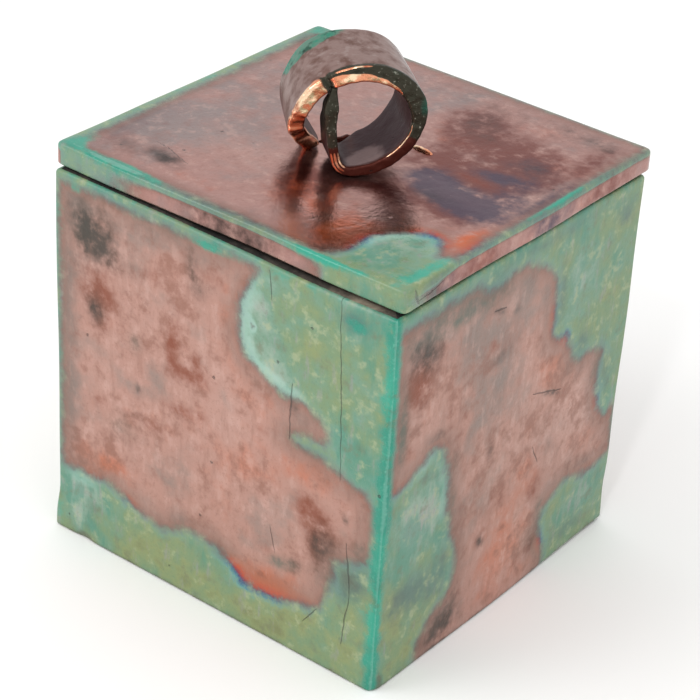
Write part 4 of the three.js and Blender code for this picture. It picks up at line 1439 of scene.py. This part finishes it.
def makeGlaze(name, look, crackList):
    material, bench, shader, place = newMaterial(name)
    pour, fringe, pale = painted(bench, "glazeFlow")
    warm, soot, rust = painted(bench, "glazeTint")
    film, edge, bare = painted(bench, "glazeSkin")
    mottle = bench.group(groups["mottle"], {"Place": place, "Pinholes": look["pinholes"]})
    unevenness = {key: mottle[key] for key in fired}

    def pattern(*keys):
        return {key: unevenness[key] for key in keys}

    distance = bench.group(groups["ragged"], {
        "Pour": pour, "Ragged": look["ragged"], **pattern("Blotches", "Stains", "Grain"),
    })["Distance"]
    green = bench.group(groups["green"], {"Pale": pale, **unevenness})["Colour"]
    copper = bench.group(groups["copper"], {
        "Warm": warm, "Rust": rust, "Soot": soot, "Film": film, "Pale": pale, "Mottling": look["mottling"],
        **unevenness, **{key: shade(look[key.lower()]) for key in copperColours},
    })["Colour"]
    halo = bench.between(distance, look["haloReach"], 1.0, 0.0, look["halo"])
    copper = bench.mix(halo, copper, shade(look["haze"]))
    onCopper = bench.between(distance, -2.6, 2.0)
    uneven = swing(bench, mottle["Stains"], 2.6, 0.9)
    veil = bench.between(bench.times(film, uneven), 0.0, 0.9, 0.0, 0.8)
    greenSide = bench.mix(veil, green, shade(glazeShades["film"]))
    dirt = bench.between(bench.times(soot, uneven), 0.0, 0.8, 0.0, 0.7)
    greenSide = bench.mix(dirt, greenSide, shade(glazeShades["grime"]))
    colour = bench.mix(onCopper, greenSide, copper)
    bands = bench.group(groups["fringe"], {
        "Distance": distance, "Strength": fringe, **pattern("Stains", "Grain"),
    })
    colour = bench.mix(bands["Share"], colour, bands["Colour"])
    milk = bench.times(bench.between(distance, -4.6, -1.8), bench.between(distance, -0.2, -1.6))
    milk = bench.times(milk, bench.between(pale, 0.1, 0.8, 0.0, 0.5))
    colour = bench.mix(milk, colour, shade(glazeShades["milk"]))
    arris = bench.group(groups["edge"], {"Edge": edge, **pattern("Clouds", "Blotches", "Grain")})
    colour = bench.mix(arris["Share"], colour, arris["Colour"])
    smoke = bench.maths("MULTIPLY_ADD", pale, -look["palest"], look["rimSmoke"])
    clay = bench.group(groups["bare"], {"Smoke": smoke, **pattern("Clouds", "Blotches", "Grain")})["Colour"]
    onClay = bench.between(swing(bench, mottle["Grain"], 0.5, bare), 0.35, 0.65)
    colour = bench.mix(onClay, colour, clay)
    lines = None
    for start, end, face, width, wander in crackList:
        mask = bench.group(groups["crack"], {
            "Place": place, "Start": start, "End": end, "Face": face, "Width": width, "Wander": wander,
        })["Mask"]
        lines = mask if lines is None else bench.maths("MAXIMUM", lines, mask)
    flaws = bench.maths("MAXIMUM", lines, mottle["Holes"])
    colour = bench.mix(bench.times(flaws, 0.5), colour, shade(glazeShades["flaw"]))
    notEdge = bench.maths("SUBTRACT", 1.0, arris["Share"])
    notClay = bench.maths("SUBTRACT", 1.0, onClay)
    metal = bench.times(onCopper, look["metal"])
    metal = bench.times(metal, bench.times(notEdge, notClay))
    rough = mixValue(bench, onCopper, look["greenRough"], look["copperRough"])
    rough = swing(bench, mottle["Blotches"], 0.3, rough)
    rough = mixValue(bench, arris["Share"], rough, look["edgeRough"])
    rough = mixValue(bench, onClay, rough, 0.9)
    height = bench.maths("SUBTRACT", mottle["Height"], bench.times(flaws, 1.5))
    results = {"Base Color": colour, "Metallic": metal, "Roughness": rough}
    wireUp(bench, shader, height, look["relief"], results)
    return material


handleFinish = {
    "outer": "8e756f", "outerBrown": "6d4f47", "polished": "e89c78", "goldAndPaintedHighlight": "ffdcb8", "gunmetal": "3c3a31",
    "inner": "3a2026", "rust": "5a2a1c", "verdigris": "27584b", "paintedLight": "8f7674", "gleam": 0.08,
    "relief": 0.00014, "drag": "a3918c", "paintedSparkle": "c4c2b2", "blush": "a8452a", "hole": "241d1a",
    "green": "2b7a64", "paleGreen": "5a7d6e", "darkGreen": "1f4638", "pinholes": 0.08, "ragged": 0.6,
}


def makeHandleGlaze():
    look = handleFinish
    material, bench, shader, place = newMaterial("handleGlaze")
    pour, _, pale = painted(bench, "glazeFlow")
    lustreAndPaintedGlint, dark, brown = painted(bench, "glazeTint")
    outer, onFront, teal = painted(bench, "glazeSkin")
    mottle = bench.group(groups["mottle"], {"Place": place, "Pinholes": look["pinholes"]})
    blotches, stains, grain = mottle["Blotches"], mottle["Stains"], mottle["Grain"]
    distance = bench.group(groups["ragged"], {
        "Pour": pour, "Ragged": look["ragged"], "Blotches": blotches, "Stains": stains, "Grain": grain,
    })["Distance"]
    colour = bench.mix(bench.between(stains, 0.42, 0.68), shade(look["outer"]), shade(look["outerBrown"]))
    drag = bench.between(mottle["Strokes"], 0.45, 0.3, 0.0, 0.5)
    colour = bench.mix(drag, colour, shade(look["drag"]))
    colour = bench.mix(bench.between(outer, 0.6, 0.1), colour, shade(look["rust"]))
    colour = bench.mix(brown, colour, shade(look["inner"]))
    smoked = bench.between(swing(bench, stains, 1.0, dark), 0.25, 0.6)
    colour = bench.mix(smoked, colour, shade(look["gunmetal"]))
    # painted highlights: pale sparkle specks on the smoked front face
    paintedSparkle = bench.between(grain, 0.6, 0.7, 0.0, 0.45)
    paintedSparkle = bench.times(paintedSparkle, bench.times(smoked, onFront))
    colour = bench.mix(paintedSparkle, colour, shade(look["paintedSparkle"]))
    # painted light: a paler patch on the inner face at the hoop's bottom
    paintedLight = bench.between(swing(bench, stains, 1.2, pale), 0.3, 0.9, 0.0, 0.8)
    colour = bench.mix(paintedLight, colour, shade(look["paintedLight"]))
    tealShare = bench.between(swing(bench, stains, 1.2, teal), 0.3, 0.9, 0.0, 0.8)
    colour = bench.mix(tealShare, colour, shade(look["verdigris"]))
    # the copper lustre, with the painted glints along the arrises
    shine = bench.between(swing(bench, stains, 0.9, lustreAndPaintedGlint), 0.3, 0.55)
    # the near-white gold is partly a painted highlight on the copper lustre
    bright = bench.mix(bench.between(stains, 0.56, 0.42), shade(look["polished"]), shade(look["goldAndPaintedHighlight"]))
    bright = bench.mix(bench.between(blotches, 0.52, 0.66, 0.0, 0.8), bright, shade(look["blush"]))
    colour = bench.mix(shine, colour, bright)
    green = bench.mix(bench.between(blotches, 0.42, 0.6), shade(look["green"]), shade(look["paleGreen"]))
    green = bench.mix(bench.between(stains, 0.5, 0.6, 0.0, 0.85), green, shade(look["darkGreen"]))
    onGreen = bench.between(distance, 0.9, -0.9)
    colour = bench.mix(onGreen, colour, green)
    colour = bench.mix(bench.times(mottle["Holes"], 0.7), colour, shade(look["hole"]))
    metal = mixValue(bench, brown, 0.6, 0.2)
    metal = mixValue(bench, shine, metal, 1.0)
    metal = bench.times(metal, bench.maths("SUBTRACT", 1.0, onGreen))
    rough = mixValue(bench, outer, 0.22, 0.42)
    rough = mixValue(bench, brown, rough, 0.4)
    rough = swing(bench, stains, 0.3, rough)
    shader.inputs["Specular IOR Level"].default_value = look["gleam"]
    results = {"Base Color": colour, "Metallic": metal, "Roughness": rough}
    wireUp(bench, shader, mottle["Height"], look["relief"], results)
    return material


clayFinish = {"smoke": 0.7, "rough": 0.88, "relief": 0.00028, "pinholes": 0.35, "hole": "1e1b19"}


def makeSmokedClay():
    material, bench, shader, place = newMaterial("smokedClay")
    mottle = bench.group(groups["mottle"], {"Place": place, "Pinholes": clayFinish["pinholes"]})
    colour = bench.group(groups["bare"], {
        "Smoke": clayFinish["smoke"], "Clouds": mottle["Clouds"], "Blotches": mottle["Blotches"],
        "Grain": mottle["Grain"],
    })["Colour"]
    colour = bench.mix(bench.times(mottle["Holes"], 0.6), colour, shade(clayFinish["hole"]))
    rough = bench.maths("MULTIPLY_ADD", mottle["Blotches"], -0.12, clayFinish["rough"])
    wireUp(bench, shader, mottle["Height"], clayFinish["relief"], {"Base Color": colour, "Roughness": rough})
    return material


wallMaterial = makeGlaze("wallGlaze", wallFinish, wallCracks)
lidMaterial = makeGlaze("lidGlaze", lidFinish, lidCracks)
handleMaterial = makeHandleGlaze()
clayMaterial = makeSmokedClay()
for pieces, material in (
    (wallPieces, wallMaterial), ([lidSlab], lidMaterial), ([handleCurl] + beadPieces, handleMaterial),
    (clayPieces, clayMaterial),
):
    for piece in pieces:
        piece.data.materials.clear()
        piece.data.materials.append(material)
print("materials made")


# floor, light and camera

studio = {
    "floorSize": 6.0,
    "floorColour": "fdfdfc",
    "floorDrop": 0.0002,  # the part stands this far above the floor (m)
    "surround": 0.95,  # brightness of the white tent
    "keyPower": 4.0,
    "keySize": 0.7,
    "keyPlace": (-0.55, -0.75, 1.05),
    "glintPower": 1.6,
    "glintSize": 0.07,
    "glintPlace": (0.35, -0.75, 0.85),
    "aim": (0.0, 0.0, 0.06),
}


def buildFloor():
    half = studio["floorSize"] / 2
    corners = [(-half, -half, 0), (half, -half, 0), (half, half, 0), (-half, half, 0)]
    mesh = bpy.data.meshes.new("studioFloor")
    mesh.from_pydata(corners, [], [(0, 1, 2, 3)])
    floor = bpy.data.objects.new("studioFloor", mesh)
    floor.location.z = -studio["floorDrop"]
    scene.collection.objects.link(floor)
    material = bpy.data.materials.new("floorPaper")
    material.use_nodes = True
    shader = material.node_tree.nodes["Principled BSDF"]
    shader.inputs["Base Color"].default_value = shade(studio["floorColour"])
    shader.inputs["Roughness"].default_value = 0.9
    mesh.materials.append(material)


def aimAt(thing, target):
    thing.rotation_euler = (Vector(target) - thing.location).to_track_quat("-Z", "Y").to_euler()


def addSoftbox(name, place, size, power):
    light = bpy.data.lights.new(name, "AREA")
    light.shape = "DISK"
    light.size = size
    light.energy = power
    lamp = bpy.data.objects.new(name, light)
    lamp.location = place
    aimAt(lamp, studio["aim"])
    scene.collection.objects.link(lamp)


def buildTent():
    world = bpy.data.worlds.new("whiteTent")
    world.use_nodes = True
    background = world.node_tree.nodes["Background"]
    background.inputs["Color"].default_value = (1, 1, 1, 1)
    background.inputs["Strength"].default_value = studio["surround"]
    scene.world = world
    scene.view_settings.view_transform = "Standard"


view = {
    "place": (345.8, -459.7, 396.7),  # mm
    "azimuth": 36.77,
    "elevation": 30.68,
    "roll": 3.61,
    "lens": 128.9,
}


def buildCamera():
    azimuth, elevation = math.radians(view["azimuth"]), math.radians(view["elevation"])
    back = Vector((
        math.sin(azimuth) * math.cos(elevation),
        -math.cos(azimuth) * math.cos(elevation),
        math.sin(elevation),
    ))
    right = Vector((math.cos(azimuth), math.sin(azimuth), 0))
    up = back.cross(right)
    roll = math.radians(view["roll"])
    right, up = math.cos(roll) * right + math.sin(roll) * up, math.cos(roll) * up - math.sin(roll) * right
    data = bpy.data.cameras.new("camera")
    data.lens = view["lens"]
    data.clip_start = 0.01
    camera = bpy.data.objects.new("camera", data)
    turned = Matrix((right, up, back)).transposed().to_4x4()
    turned.translation = Vector(view["place"]) * mm
    camera.matrix_world = turned
    scene.collection.objects.link(camera)
    scene.camera = camera


buildFloor()
buildTent()
addSoftbox("keyLight", studio["keyPlace"], studio["keySize"], studio["keyPower"])
addSoftbox("glintLight", studio["glintPlace"], studio["glintSize"], studio["glintPower"])
buildCamera()
print("studio set up")
